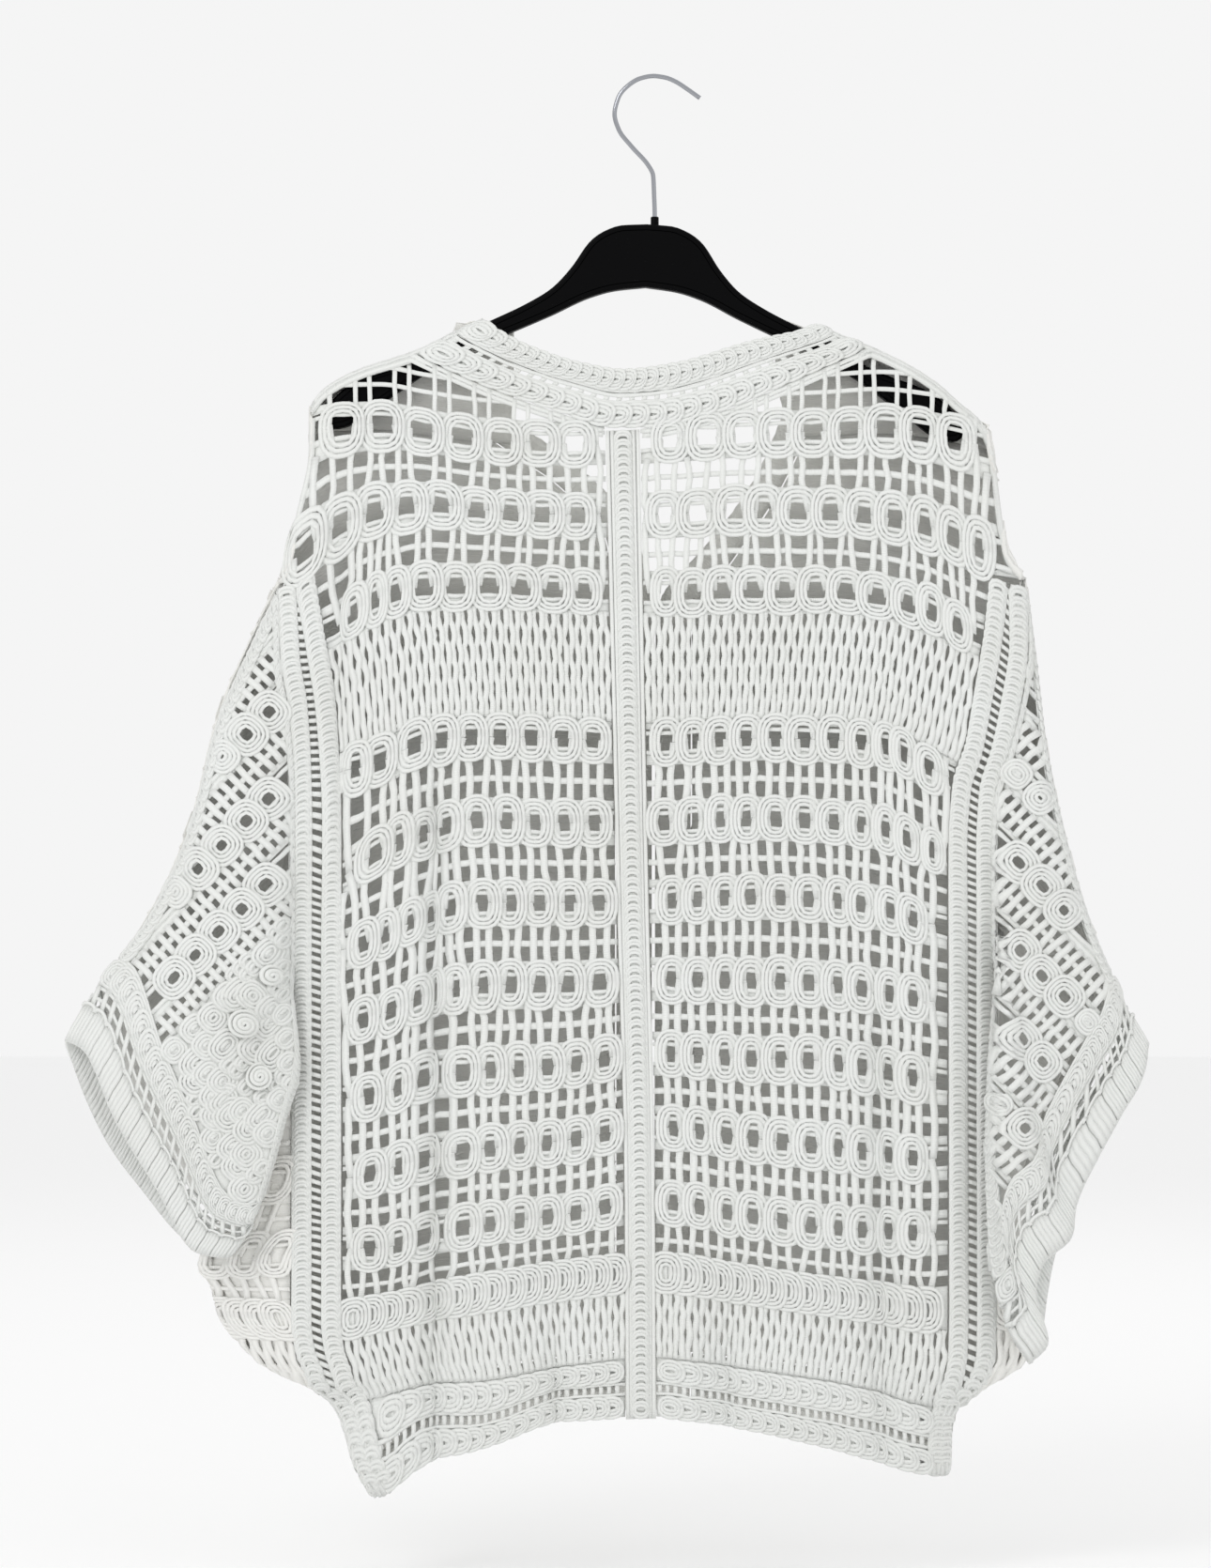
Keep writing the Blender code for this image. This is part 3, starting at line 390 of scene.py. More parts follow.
def cottonCord(name, light, shade):
    material, shader = newMaterial(name, light, cotton["roughness"])
    links = material.node_tree.links

    def noise(scale, detail):
        settings, links = {"Scale": cotton[scale], "Detail": detail}, {"Vector": place.outputs["Object"]}
        return addNode(material, "ShaderNodeTexNoise", settings, links).outputs["Fac"]

    def maths(operation, settings, sources):
        return addNode(material, "ShaderNodeMath", {"operation": operation, **settings}, sources).outputs[0]

    place = addNode(material, "ShaderNodeTexCoord")
    own = addNode(material, "ShaderNodeAttribute", {"attribute_name": "cord"})
    parts = addNode(material, "ShaderNodeSeparateXYZ", links={"Vector": own.outputs["Vector"]}).outputs
    # washed-in tone, in patches about 60 mm across
    tone = addNode(material, "ShaderNodeMix", {"data_type": "RGBA"}, {"Factor": noise("patchScale", 2.0)})
    # sockets 6 and 7 are the two colours, and output 2 the mixed one
    tone.inputs[6].default_value = linearOf(light)
    tone.inputs[7].default_value = linearOf(shade)
    links.new(tone.outputs[2], shader.inputs["Base Color"])
    # the lay of the plies: ridges that slant as they go along the cord, under a fine fuzz
    slant = maths("ADD", {}, {0: parts["Y"], 1: parts["X"]})
    turn = maths("MULTIPLY", {1: 2 * math.pi / cotton["plyPitch"]}, {0: slant})
    ply = maths("SINE", {}, {0: turn})
    both = maths("MULTIPLY_ADD", {1: cotton["plyShare"]}, {0: ply, 2: noise("fuzzScale", 3.0)})
    depth = {"Strength": cotton["bump"], "Distance": cotton["bumpDepth"] * mm}
    bump = addNode(material, "ShaderNodeBump", depth, {"Height": both})
    links.new(bump.outputs["Normal"], shader.inputs["Normal"])
    shader.inputs["Sheen Weight"].default_value = cotton["sheen"]
    shader.inputs["Sheen Roughness"].default_value = cotton["sheenRoughness"]
    return material


# The lace is made flat: across, up and out of the cloth
cordShapes = {}


def cordShape(points, sides, closed):
    # a tube of this many points, kept for reuse; each corner knows its place along and around the cord
    key = (points, sides, closed)
    if key not in cordShapes:
        shape = bmesh.new()
        bmesh.ops.create_grid(shape, x_segments=points - 1, y_segments=sides, size=1)
        alongLayer = shape.verts.layers.int.new("alongCord")
        aroundLayer = shape.verts.layers.int.new("aroundCord")
        for index, corner in enumerate(shape.verts):
            at, turn = index % points, index // points
            corner[alongLayer], corner[aroundLayer] = at, turn % sides
            angle = 2 * math.pi * turn / sides
            if closed:
                swing = 2 * math.pi * at / (points - 1)
                reach = 4 + math.cos(angle)
                corner.co = (reach * math.cos(swing), reach * math.sin(swing), math.sin(angle))
            else:
                corner.co = (4 * at, math.cos(angle), math.sin(angle))
        bmesh.ops.remove_doubles(shape, verts=shape.verts[:], dist=1e-4)
        if not closed:
            ends = [edge for edge in shape.edges if edge.is_boundary]
            bmesh.ops.holes_fill(shape, edges=ends, sides=sides)
        bmesh.ops.recalc_face_normals(shape, faces=shape.faces[:])
        mesh = bpy.data.meshes.new("cordShape")
        shape.to_mesh(mesh)
        shape.free()
        at, turn = (np.zeros(len(mesh.vertices), np.int32) for _ in range(2))
        mesh.attributes["alongCord"].data.foreach_get("value", at)
        mesh.attributes["aroundCord"].data.foreach_get("value", turn)
        cordShapes[key] = (mesh, at, turn)
    return cordShapes[key]


def newLace(loops=True):
    lace = {"mesh": bmesh.new(), "places": [], "lengths": [], "turns": []}
    # the loops are kept apart from the net and ground that they are sewn to
    lace["loops"] = newLace(False) if loops else lace
    return lace


def layCords(lace, paths, width=2.7, thick=1.3, sides=4, closed=False):
    # paths: cords x points x (across, up, out)
    paths = np.asarray(paths, float)
    if len(paths) == 0:
        return
    mesh, at, turn = cordShape(paths.shape[1], sides, closed)
    if closed:
        way = np.roll(paths[:, :-1], -1, axis=1) - np.roll(paths[:, :-1], 1, axis=1)
        way = np.concatenate([way, way[:, :1]], axis=1)
    else:
        way = np.gradient(paths, axis=1)
    aside = np.stack([way[..., 1], -way[..., 0]], axis=-1)
    aside /= np.maximum(np.linalg.norm(aside, axis=-1, keepdims=True), 1e-9)
    angle = 2 * np.pi * (turn + 0.5) / sides
    grow = 1 / math.cos(math.pi / sides) if sides == 4 else 1.0
    middle = paths[:, at]
    places = middle.copy()
    places[..., :2] += aside[:, at] * (np.cos(angle) * width / 2 * grow)[None, :, None]
    places[..., 2] += np.sin(angle) * thick / 2 * grow
    gone = np.linalg.norm(np.diff(paths, axis=1), axis=-1)
    gone = np.concatenate([np.zeros((len(paths), 1)), np.cumsum(gone, axis=1)], axis=1)
    for _ in range(len(paths)):
        lace["mesh"].from_mesh(mesh)
    lace["places"].append(places.reshape(-1, 3))
    lace["lengths"].append(gone[:, at].reshape(-1))
    lace["turns"].append(np.broadcast_to(turn / sides, places.shape[:2]).reshape(-1))


def layAlong(lace, across, up, out, width, thick, sides=4):
    # cords whose places across, up and out are arrays or single values; a single row of places is one cord
    paths = np.stack(np.broadcast_arrays(across, up, out), axis=-1)
    layCords(lace, paths if paths.ndim == 3 else paths[None], width, thick, sides)


def edgeAt(edge, height):
    # an edge is a single value or a function of the height
    return edge(height) if callable(edge) else edge + 0 * np.asarray(height, float)


def spanAt(left, right, height):
    return tuple(float(edgeAt(edge, height)) for edge in (left, right))


def laySheet(lace, left, right, low, high, inner=0.0, outer=0.9, across=2, down=2):
    # a thin closed sheet under a dense band
    sheet = bmesh.new()
    bmesh.ops.create_grid(sheet, x_segments=across, y_segments=down, size=1)
    raised = bmesh.ops.extrude_face_region(sheet, geom=sheet.faces[:], use_keep_orig=True)
    for item in raised["geom"]:
        if isinstance(item, bmesh.types.BMVert):
            item.co.z = 1
    bmesh.ops.recalc_face_normals(sheet, faces=sheet.faces[:])
    share = np.array([tuple(corner.co) for corner in sheet.verts])
    mesh = bpy.data.meshes.new("sheetShape")
    sheet.to_mesh(mesh)
    sheet.free()
    for layer in ("alongCord", "aroundCord"):
        mesh.attributes.new(layer, "INT", "POINT")
    lace["mesh"].from_mesh(mesh)
    up = low + (high - low) * (share[:, 1] + 1) / 2
    start, end = (edgeAt(edge, up) for edge in (left, right))
    x = start + (end - start) * (share[:, 0] + 1) / 2
    lace["places"].append(np.stack([x, up, np.where(share[:, 2] > 0.5, outer, inner)], axis=1))
    lace["lengths"].append(up)
    lace["turns"].append(np.zeros(len(up)))


def ringPaths(middles, halfWidth, halfHeight, points, lift, tilt, lean=0.0, start=0.0, sweep=2 * math.pi):
    # rings, or arcs of them, that lean so that each lies over the next
    swing = start + np.linspace(0, sweep, points)
    middles = np.asarray(middles, float)
    halfWidth = np.broadcast_to(halfWidth, len(middles))[:, None]
    halfHeight = np.broadcast_to(halfHeight, len(middles))[:, None]
    # between a circle and a square, as the stitches pull them
    cosine, sine = np.cos(swing), np.sin(swing)
    bulge = 1 / (np.abs(cosine) ** 2.7 + np.abs(sine) ** 2.7) ** (1 / 2.7)
    across = middles[:, :1] + halfWidth * cosine * bulge
    up = middles[:, 1:2] + halfHeight * sine * bulge
    out = lift + (tilt * cosine + lean * sine) * np.ones_like(across)
    return np.stack([across, up, out], axis=-1)


def layRings(
    lace, middles, halfWidth, halfHeight, lift=2.3, tilt=0.7, lean=0.0, cords=3, apart=2.35, cord=2.25,
    points=(21, 17, 13, 9),
):
    # concentric flat cords; the outermost has its centre line half a cord inside halfWidth
    middles = np.asarray(middles, float)
    if len(middles) == 0:
        return
    lace = lace["loops"]
    halfWidth = np.broadcast_to(np.asarray(halfWidth, float), len(middles))
    for number in range(cords):
        inset = cord / 2 + apart * number
        wide = np.maximum(halfWidth - inset * np.minimum(1, halfWidth / 11), 1.1)
        tall = np.maximum(np.broadcast_to(halfHeight, len(middles)) - inset, 1.1)
        paths = ringPaths(middles, wide, tall, points[number], lift + 0.1 * number, tilt, lean)
        layCords(lace, paths, cord, 1.7, closed=True)


def drapedMesh(lace, surface, out, gap, told):
    # lays the flat lace over a surface
    places = np.concatenate(lace["places"])
    low, high = places[:, :2].min(0) - 1, places[:, :2].max(0) + 1
    count = np.maximum(np.ceil((high - low) / gap).astype(int) + 1, 3)
    a = np.linspace(low[0], high[0], count[0])
    b = np.linspace(low[1], high[1], count[1])
    point = surface(*np.broadcast_arrays(a[:, None], b[None, :]))
    across, up = np.gradient(point, a, axis=0), np.gradient(point, b, axis=1)
    normal = np.cross(across, up)
    normal /= np.maximum(np.linalg.norm(normal, axis=-1, keepdims=True), 1e-9)
    if told:
        normal *= np.sign(normal[: max(int(len(a) * told), 2), :, 1].sum())
    normal *= out
    both = np.concatenate([point, normal], axis=-1)
    at = (places[:, :2] - low) / (high - low) * (count - 1)
    cell = np.clip(at.astype(int), 0, count - 2)
    share = at - cell
    west, south = cell[:, 0], cell[:, 1]
    u, v = share[:, :1], share[:, 1:]
    found = (
        both[west, south] * (1 - u) * (1 - v) + both[west + 1, south] * u * (1 - v)
        + both[west, south + 1] * (1 - u) * v + both[west + 1, south + 1] * u * v
    )
    normal = found[:, 3:] / np.maximum(np.linalg.norm(found[:, 3:], axis=1, keepdims=True), 1e-9)
    laid = (found[:, :3] + normal * places[:, 2:]) * mm
    shape = bpy.data.meshes.new("draped")
    lace["mesh"].to_mesh(shape)
    lace["mesh"].free()
    shape.vertices.foreach_set("co", laid.astype(np.float32).ravel())
    cord = shape.attributes.new("cord", "FLOAT_VECTOR", "POINT")
    own = np.stack([np.concatenate(lace["lengths"]), np.concatenate(lace["turns"]), places[:, 2]], axis=1)
    cord.data.foreach_set("vector", own.astype(np.float32).ravel())
    for layer in ("alongCord", "aroundCord"):
        if layer in shape.attributes:
            shape.attributes.remove(shape.attributes[layer])
    return shape


def addObject(name, data):
    made = bpy.data.objects.new(name, data)
    bpy.context.scene.collection.objects.link(made)
    return made


def placePiece(name, shape, material):
    shape.polygons.foreach_set("use_smooth", np.ones(len(shape.polygons), bool))
    shape.materials.append(material)
    made = addObject(name, shape)
    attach(made, "root")
    print(name, sum(len(face.vertices) - 2 for face in shape.polygons), "triangles")
    return made


def standFor(piece, node):
    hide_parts(node)
    return piece


def drape(lace, surface, out, material, name, gap=2.5, told=1.0, more=()):
    # one finished object of a lace on its surface, and of more laces on surfaces of their own
    shape, turned = bpy.data.meshes.new(name), bmesh.new()
    for part, under in ((lace, surface), *more):
        turned.from_mesh(drapedMesh(part, under, out, gap, told))
    # a cord that was mirrored by the cloth's side is turned face out again
    bmesh.ops.recalc_face_normals(turned, faces=turned.faces[:])
    turned.to_mesh(shape)
    turned.free()
    shape.update()
    return placePiece(name, shape, material)


def cutSize(surface, left, right, low, high, across=0.5):
    # a piece's flat width and length, measured over its surface through its middle
    def reach(a, b):
        return float(np.linalg.norm(np.diff(surface(a, b), axis=0), axis=1).sum())

    level, heights = (low + high) / 2, np.linspace(low, high, 90)
    width = reach(np.linspace(*spanAt(left, right, level), 60), np.full(60, level))
    length = reach(edgeAt(left, heights) * (1 - across) + edgeAt(right, heights) * across, heights)
    return tuple(round(round(side / 5) * 5 * mm, 3) for side in (width, length))


def finishCloth(
    lace, surface, front, name, node, cut, rests, told=1.0, ornaments=(), ground=None, area=None, edging=(),
):
    # the ground, or the net where no ground lies all over, is the sheet of cloth, and the rest is sewn to it;
    # cut says its edges, its lower and upper end and where across it the length is taken
    flat = cutSize(edging[1] if edging else surface, *cut)
    area = min(area, flat[0] * flat[1]) if area else None
    # the fronts take the cord painted paler, which offsets the shade they lie in
    out, material = (1, cordPaintedPaler) if front else (-1, cordWhite)
    edges, edgeLoops = ([edging], [(edging[0]["loops"], edging[1])]) if edging else ([], [])
    cloth = drape(lace, surface, out, material, name, told=told, more=edges)
    sewn = [drape(lace["loops"], surface, out, material, name + "_loops", told=told, more=edgeLoops)]
    if ground:
        sewn.append(cloth)
        cloth = drape(ground, surface, out, material, name + "_ground", told=told)
    for piece in (cloth, *sewn):
        standFor(piece, node)
    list(ornaments)
    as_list(rests)
    made = sum(face.area for face in cloth.data.polygons) / 2
    print(name, "cut", flat, "its cloth over its cut", round(made / (area or flat[0] * flat[1]), 2))


photoScale = {"mmPerPixel": 0.6, "middle": 696}


def photoX(*pixels):
    return [photoScale["mmPerPixel"] * (pixel - photoScale["middle"]) for pixel in pixels]


# The middles of the rings in each row, top row first, left and right of the centre strip
backRings = {
    "left": (
        photoX(364.6, 407, 449, 492, 534, 574, 612, 646),
        photoX(362, 398.6, 433, 470, 508, 544, 578, 615.5, 647),
        photoX(352, 378, 399, 421, 451, 486, 521, 555, 589, 622, 650),
        photoX(355, 380, 405, 441, 471, 502, 533, 566, 599, 632),
        photoX(361, 400, 426, 449, 477, 508, 540, 570, 601, 633),
        photoX(358, 387, 411, 437, 457, 483, 514, 545, 575, 607, 638),
        photoX(361, 388, 417, 444, 465, 487, 515, 545, 576, 606, 639),
        *[photoX(365, 394, 425, 450, 494, 523, 553, 583, 614, 644)] * 3,
    ),
    "right": (
        photoX(690, 713.5, 753, 793, 829, 866.7, 905, 944, 981.7, 1017.7, 1048),
        photoX(680, 708, 743, 781.7, 814.5, 850, 884.7, 920.6, 953.7, 986, 1016, 1043),
        photoX(684, 710, 738, 770, 802, 836, 869, 901.5, 936, 967, 993.5, 1020, 1043),
        photoX(709.6, 738, 767, 795, 826, 857, 888, 917, 943, 963, 989, 1015),
        photoX(707, 738, 767, 795, 826, 857, 888, 917, 943, 966, 992, 1008),
        *[photoX(715, 743, 772, 800, 831, 861, 892, 917, 948, 972, 1001)] * 3,
        *[photoX(717, 745, 774, 802, 833, 863, 892, 917, 948, 972, 1001)] * 2,
    ),
}
# The net: widths of its upright and level cords, and how it is tied to the rings
net = {"widths": (3.8, 3.1), "thick": 1.7, "besideRing": 0.32, "drawnIn": 1.7, "rim": 11.5, "partner": 8,
       "wobble": 0.45, "lonePitch": 20.0}
slitNet = {"pitch": 3.7, "width": 3.4, "thick": 1.5, "wobble": 0.22}
ringRow = {"tall": 15.7, "share": 0.66, "least": 6.0, "window": 0.395, "pastEdge": 0.8}
# What lies below and between the rows of rings, in row heights; of each pair of sizes below it, the first
# is for the rows above the belt of slits
panel = {"firstBelow": 3, "belt": (-344.0, -414.0), "beltCords": (-345.0, -411.0), "lastRow": -719.0,
         "lastNet": -752.0, "lastLine": -743.5, "dense": (-751.0, -777.0), "lowSlits": -776.0,
         "cutTop": -200.0}
groundLayer = {"inner": -0.7, "outer": 0.2}  # how far out a close ground lies, behind the cords
shoulderNet = {"width": 2.9, "thick": 1.5, "lines": (-212.0, -201.0, -190.0, -179.0)}
backSizes = {"widest": (14.4, 12.8), "widths": ((3.9, 3.2), (4.5, 3.7)), "tilt": 0.8}
frontSizes = {"widest": (12.0, 12.0), "widths": (net["widths"], net["widths"]), "tilt": 0.8, "pitch": 18.8}


def panelEdges(side):
    # the left and the right edge of half the back, as functions of the row height
    edge, band = foldEdges[side], sideBands[side]

    def outer(height):
        height = np.asarray(height, float)
        inBand = along(band, 2, height) - side * seam
        onFold = along(edge, 1, np.maximum(height, sleeveHead)) - side * 0.6
        return np.where(height > sleeveHead, onFold, inBand)

    def middle(height):
        return along(centreBand, 1, height) + side * (along(centreBand, 2, height) + seam)

    return (outer, middle) if side < 0 else (middle, outer)


def topOf(x, front=False):
    # the highest row height of a panel at x, under the neck band or at the shoulder line
    x = np.asarray(x, float)
    underNeck = (x > neckSeam[0][0]) & (x < neckSeam[-1][0]) & (not front)
    top = np.where(underNeck, along(neckSeam, 1, x) - 0.8, along(shoulder, 1, x) - 0.3)
    return heightAt(x, top, front)


def pitchOf(found):
    return np.gradient(found) if len(found) > 1 else np.full(len(found), net["lonePitch"])


def besideRings(found, left, right):
    # the places of the upright cords, one on each side of each ring's window
    reach = net["besideRing"] * pitchOf(found)
    x = np.stack([found - reach, found + reach], axis=1).ravel()
    return x[(x > left) & (x < right)]


def evenNet(lace, left, right, upper, lower, above, below, lines, points=6, widths=net["widths"]):
    # upright cords from the rings above to those below, and level cords across them
    top = besideRings(above, *spanAt(left, right, upper))
    foot = besideRings(below, *spanAt(left, right, lower))
    if len(top) == 0 or len(foot) == 0:
        return
    partner = np.argmin(np.abs(top[:, None] - foot[None, :]), axis=0)
    gap = np.abs(top[partner] - foot)
    # a cord without a partner near, or whose partner a nearer one has, hangs from the rim of the rings above
    single = gap >= net["partner"]
    for index in np.where(partner[1:] == partner[:-1])[0]:
        single[index + int(gap[index + 1] > gap[index])] = True
    spare = np.setdiff1d(np.arange(len(top)), partner[~single])
    rim = np.linspace(upper, upper - net["rim"], 3)
    layAlong(lace, top[spare][:, None], rim, 1.5, widths[0], net["thick"])
    start = np.where(single, upper - net["rim"], upper)
    top = np.where(single, foot, top[partner])
    first, last = spanAt(left, right, upper)
    kept = (top > first) & (top < last)
    top, foot, start = top[kept], foot[kept], start[kept]
    share = np.linspace(0, 1, points)[None, :]
    heights = start[:, None] * (1 - share) + lower * share
    x = top[:, None] * (1 - share) + foot[:, None] * share
    ring = np.asarray(below)[np.argmin(np.abs(foot[:, None] - np.asarray(below)[None, :]), axis=1)]
    draw = net["drawnIn"] if len(lines) else 0.0
    x += draw * np.sign(ring - foot)[:, None] * np.sin(math.pi * share) ** 0.7
    x = x + rng.normal(0, net["wobble"], x.shape)
    out = 1.5 + 0.25 * np.cos(np.arange(points) * math.pi)
    layAlong(lace, x, heights, out, widths[0], net["thick"])
    levelCords(lace, left, right, lines, width=widths[1])


def levelCords(lace, left, right, lines, out=0.8, spacing=5.0, width=net["widths"][1]):
    for height in lines:
        start, end = spanAt(left, right, height)
        count = max(int(abs(end - start) / spacing), 4)
        up = height + rng.normal(0, 0.2, count)
        deep = out + 0.2 * np.cos(np.arange(count) * math.pi)
        layAlong(lace, np.linspace(start, end, count), up, deep, width, net["thick"])


def fishnet(lace, left, right, upper, lower, slits, parting=0.85):
    # upright cords that touch and part in turn, which leaves rows of slits set like bricks
    start, end = spanAt(left, right, (upper + lower) / 2)
    count = int(abs(end - start) / slitNet["pitch"])
    points = slits * 4 + 1
    heights = np.linspace(upper, lower, points)
    share = (np.arange(count) + 0.5) / count
    first, last = (edgeAt(edge, heights) for edge in (left, right))
    x = first[None, :] + (last - first)[None, :] * share[:, None]
    swing = np.sin(np.linspace(0, slits * math.pi, points)) * np.where(np.arange(count) % 2, 1, -1)[:, None]
    x = x + parting * np.linspace(1.2, 0.35, points) * swing + rng.normal(0, slitNet["wobble"], x.shape)
    layAlong(lace, x, heights, 1.4 + 0.5 * swing, slitNet["width"], slitNet["thick"])


def withEdgeRings(found, low, high):
    # goes on with rings at the same pitch where the photo shows them only on edge, round the side fold
    found = sorted(found)
    while found[0] - (found[1] - found[0]) > low + 5:
        found.insert(0, found[0] - (found[1] - found[0]))
    while found[-1] + (found[-1] - found[-2]) < high - 5:
        found.append(2 * found[-1] - found[-2])
    return np.array(found)


def laceRow(lace, left, right, height, found, widest, tilt, tall=ringRow["tall"], room=None, cords=3):
    # one row of rings on a solid ground, which is open only at the windows and in a slit above each
    low, high = spanAt(left, right, height)
    half = np.clip(pitchOf(found) * ringRow["share"], ringRow["least"], widest)
    half = half * rng.uniform(0.95, 1.05, len(found))
    beside = np.minimum(found - low, high - found)
    if room is not None:
        beside = room(found, height)
        half = np.minimum(half, beside + ringRow["pastEdge"])
    inside = beside > (half * 0.5 if room is None else 5.5)
    spots = [place + rng.normal(0, 0.5, len(found)) for place in (found, height)]
    spots = np.stack(spots, axis=1)[inside]
    reach = tall * rng.uniform(0.96, 1.04, inside.sum())
    if room is not None:
        reach = np.minimum(reach, beside[inside] + ringRow["pastEdge"])
    layRings(lace, spots, half[inside], reach, tilt=tilt, cords=cords)
    across, window = max(int((high - low) / 6), 2), ringRow["window"] * tall
    laySheet(lace, left, right, height + window + 2.6, height + tall - 1.7, across=across, down=1)
    laySheet(lace, left, right, height - tall + 1.7, height - window + 0.2, across=across)
    levelCords(lace, left, right, (height + window, height - window), out=1.0, width=2.5)


def denseBand(lace, left, right, upper, lower, pitch=11.0):
    # rings laid so closely that each covers half of the next, on a thin ground
    level = (upper + lower) / 2
    start, end = spanAt(left, right, level)
    laySheet(lace, left, right, lower, upper, across=max(int((end - start) / 6), 2), down=4)
    centres = np.arange(start + pitch * 0.6, end - pitch * 0.3, pitch)
    spots = np.stack([centres, np.full(len(centres), level)], axis=1)
    layRings(lace, spots, 12.0, (upper - lower) / 2 + 0.8, lift=2.0, tilt=1.1, cords=4)


def ringedRows(lace, left, right, rows, sizes, tilt):
    # the rows of rings and the net between them, which is interrupted by the belt of slits
    for number, (height, found) in enumerate(zip(ringRows, rows)):
        part = 0 if number < panel["firstBelow"] else 1
        laceRow(lace, left, right, height, found, sizes["widest"][part], tilt)
        if number == panel["firstBelow"]:
            evenNet(lace, left, right, height + 12, height, found, found, [], points=3)
        elif number:
            upper, above = ringRows[number - 1], rows[number - 1]
            middle, widths = [(upper + height) / 2], sizes["widths"][part]
            evenNet(lace, left, right, upper, height, above, found, middle, widths=widths)


def panelBands(lace, left, right, found, foot, beltCords=()):
    # the belt of slits, the net under the last rings, the dense band and the slits above the hem
    fishnet(lace, left, right, *panel["belt"], slits=6)
    levelCords(lace, left, right, beltCords, out=0.6, width=2.6)
    last, low, line = panel["lastRow"], panel["lastNet"], panel["lastLine"]
    evenNet(lace, left, right, last, low, found, found, (line,), points=5)
    denseBand(lace, left, right, *panel["dense"])
    fishnet(lace, left, right, panel["lowSlits"], foot, slits=4, parting=0.8)


def backHalf(side):
    word = sideWords[side]
    left, right = panelEdges(side)
    lace = newLace()
    measured = zip(ringRows, backRings[word])
    rows = [withEdgeRings(found, *spanAt(left, right, height)) for height, found in measured]
    ringedRows(lace, left, right, rows, backSizes, -backSizes["tilt"] * side)
    # above the first row of rings the net reaches up to the shoulder and the neck band
    lowest = ringRows[0]
    x = besideRings(rows[0], *spanAt(left, right, lowest))
    high = topOf(x)
    x, high = x[high > lowest + 2], high[high > lowest + 2]
    heights = lowest + (high - lowest)[:, None] * np.linspace(0, 1, 6)[None, :]
    lean = x[:, None] + rng.normal(0, 0.3, heights.shape)
    layAlong(lace, lean, heights, 1.5, shoulderNet["width"], shoulderNet["thick"])
    shoulderLines(lace, left, right, shoulderNet["lines"][:3])
    edgeCords(lace, left, right)
    panelBands(lace, left, right, rows[-1], hemTop, panel["beltCords"])
    levelCords(lace, left, right, (hemTop + 1,), out=0.6)
    cut, rests, ornaments = (left, right, hemTop, panel["cutTop"]), ["hangerMoulding"], [shoulderRoll(side)]
    finishCloth(lace, backCloth, False, "backLace_" + word, "back_" + word, cut, rests, ornaments=ornaments)


shoulderCords = {"reach": 7.5, "radius": 9.0, "cords": (-6.2, -3.1, 0.0, 3.1, 6.2), "width": 3.0,
                 "outerEnds": (-217.0, 208.5)}


def shoulderRoll(side):
    # the rolled cords that close the shoulder over the hanger, from the back's edge to the front's
    word, reach, outer = sideWords[side], shoulderCords["reach"], shoulderCords["outerEnds"]
    ends = (outer[0], neckEdge[0][0]) if side < 0 else (neckEdge[-1][0], outer[1])

    def surface(x, b):
        sunk = shoulderDrop * (1 - np.cos(b / shoulderCords["radius"]))
        z = along(shoulder, 1, x.ravel()).reshape(x.shape) - sunk
        back, front = (bodyCloth(x, heightAt(x, z, ahead), ahead) for ahead in (False, True))
        return np.where((b < 0)[..., None], back, front)

    lace = newLace(False)
    laySheet(lace, *ends, -reach, reach, across=26, down=8)
    levelCords(lace, *ends, shoulderCords["cords"], out=1.3, width=shoulderCords["width"])
    made = drape(lace, surface, 1, cordWhite, "shoulderCords_" + word, gap=1.5, told=0)
    return standFor(made, "back_" + word)


def edgeCords(lace, left, right):
    # the thick rolled edge along the shoulder, the neck seam and the side
    start, end = spanAt(left, right, ringRows[0])
    x = np.arange(start + 1.0, end - 1.0, 3.0)
    high = topOf(x)
    x, high = x[high > ringRows[0]], high[high > ringRows[0]]
    for inset, width in ((1.2, 3.2), (4.0, 3.0)):
        layAlong(lace, x, high - inset, 1.2, width, thick=1.9)
    heights = np.linspace(high.min() - 2, sleeveHead, 24)
    for edge, place, into in ((left, start, 1), (right, end, -1)):
        if abs(place) > 60:
            layAlong(lace, edge(heights) + into * 1.4, heights, 1.2, width=3.0, thick=1.8)


def shoulderLines(lace, left, right, lines):
    # level cords that end where the shoulder or the neck band cuts them off
    start, end = spanAt(left, right, ringRows[0])
    across = np.arange(start + 3, end - 1, 3.0)
    for line in lines:
        inside = topOf(across) > line + 1.5
        breaks = np.where(np.diff(inside.astype(int)) != 0)[0] + 1
        for run, flag in zip(np.split(across, breaks), np.split(inside, breaks)):
            if flag.all() and len(run) > 3:
                layAlong(lace, run, line, 0.8, width=2.8, thick=1.5)


def chain(lace, start, end, middle, pitch, halfLong, halfWide, upright, lift, lean, cord, cords=3):
    # small loops laid over one another along a band; middle may be a function of the place along it
    count = max(int(abs(end - start) / pitch), 1)
    run = start + (end - start) * (np.arange(count) + 0.5) / count
    spots, sizes, tilts = (run, edgeAt(middle, run)), (halfLong, halfWide), (lean, 0.0)
    if upright:
        spots, sizes, tilts = spots[::-1], sizes[::-1], tilts[::-1]
    layRings(lace, np.stack(spots, axis=1), *sizes, lift, *tilts, cords, cord + 0.05, cord, (15, 13, 11, 9))


def uprightCord(lace, x, upper, lower, out=1.6, width=2.4, gap=8.0):
    heights = np.linspace(upper, lower, max(int(abs(upper - lower) / gap), 3))
    layAlong(lace["loops"], edgeAt(x, heights), heights, out, width, thick=1.7)


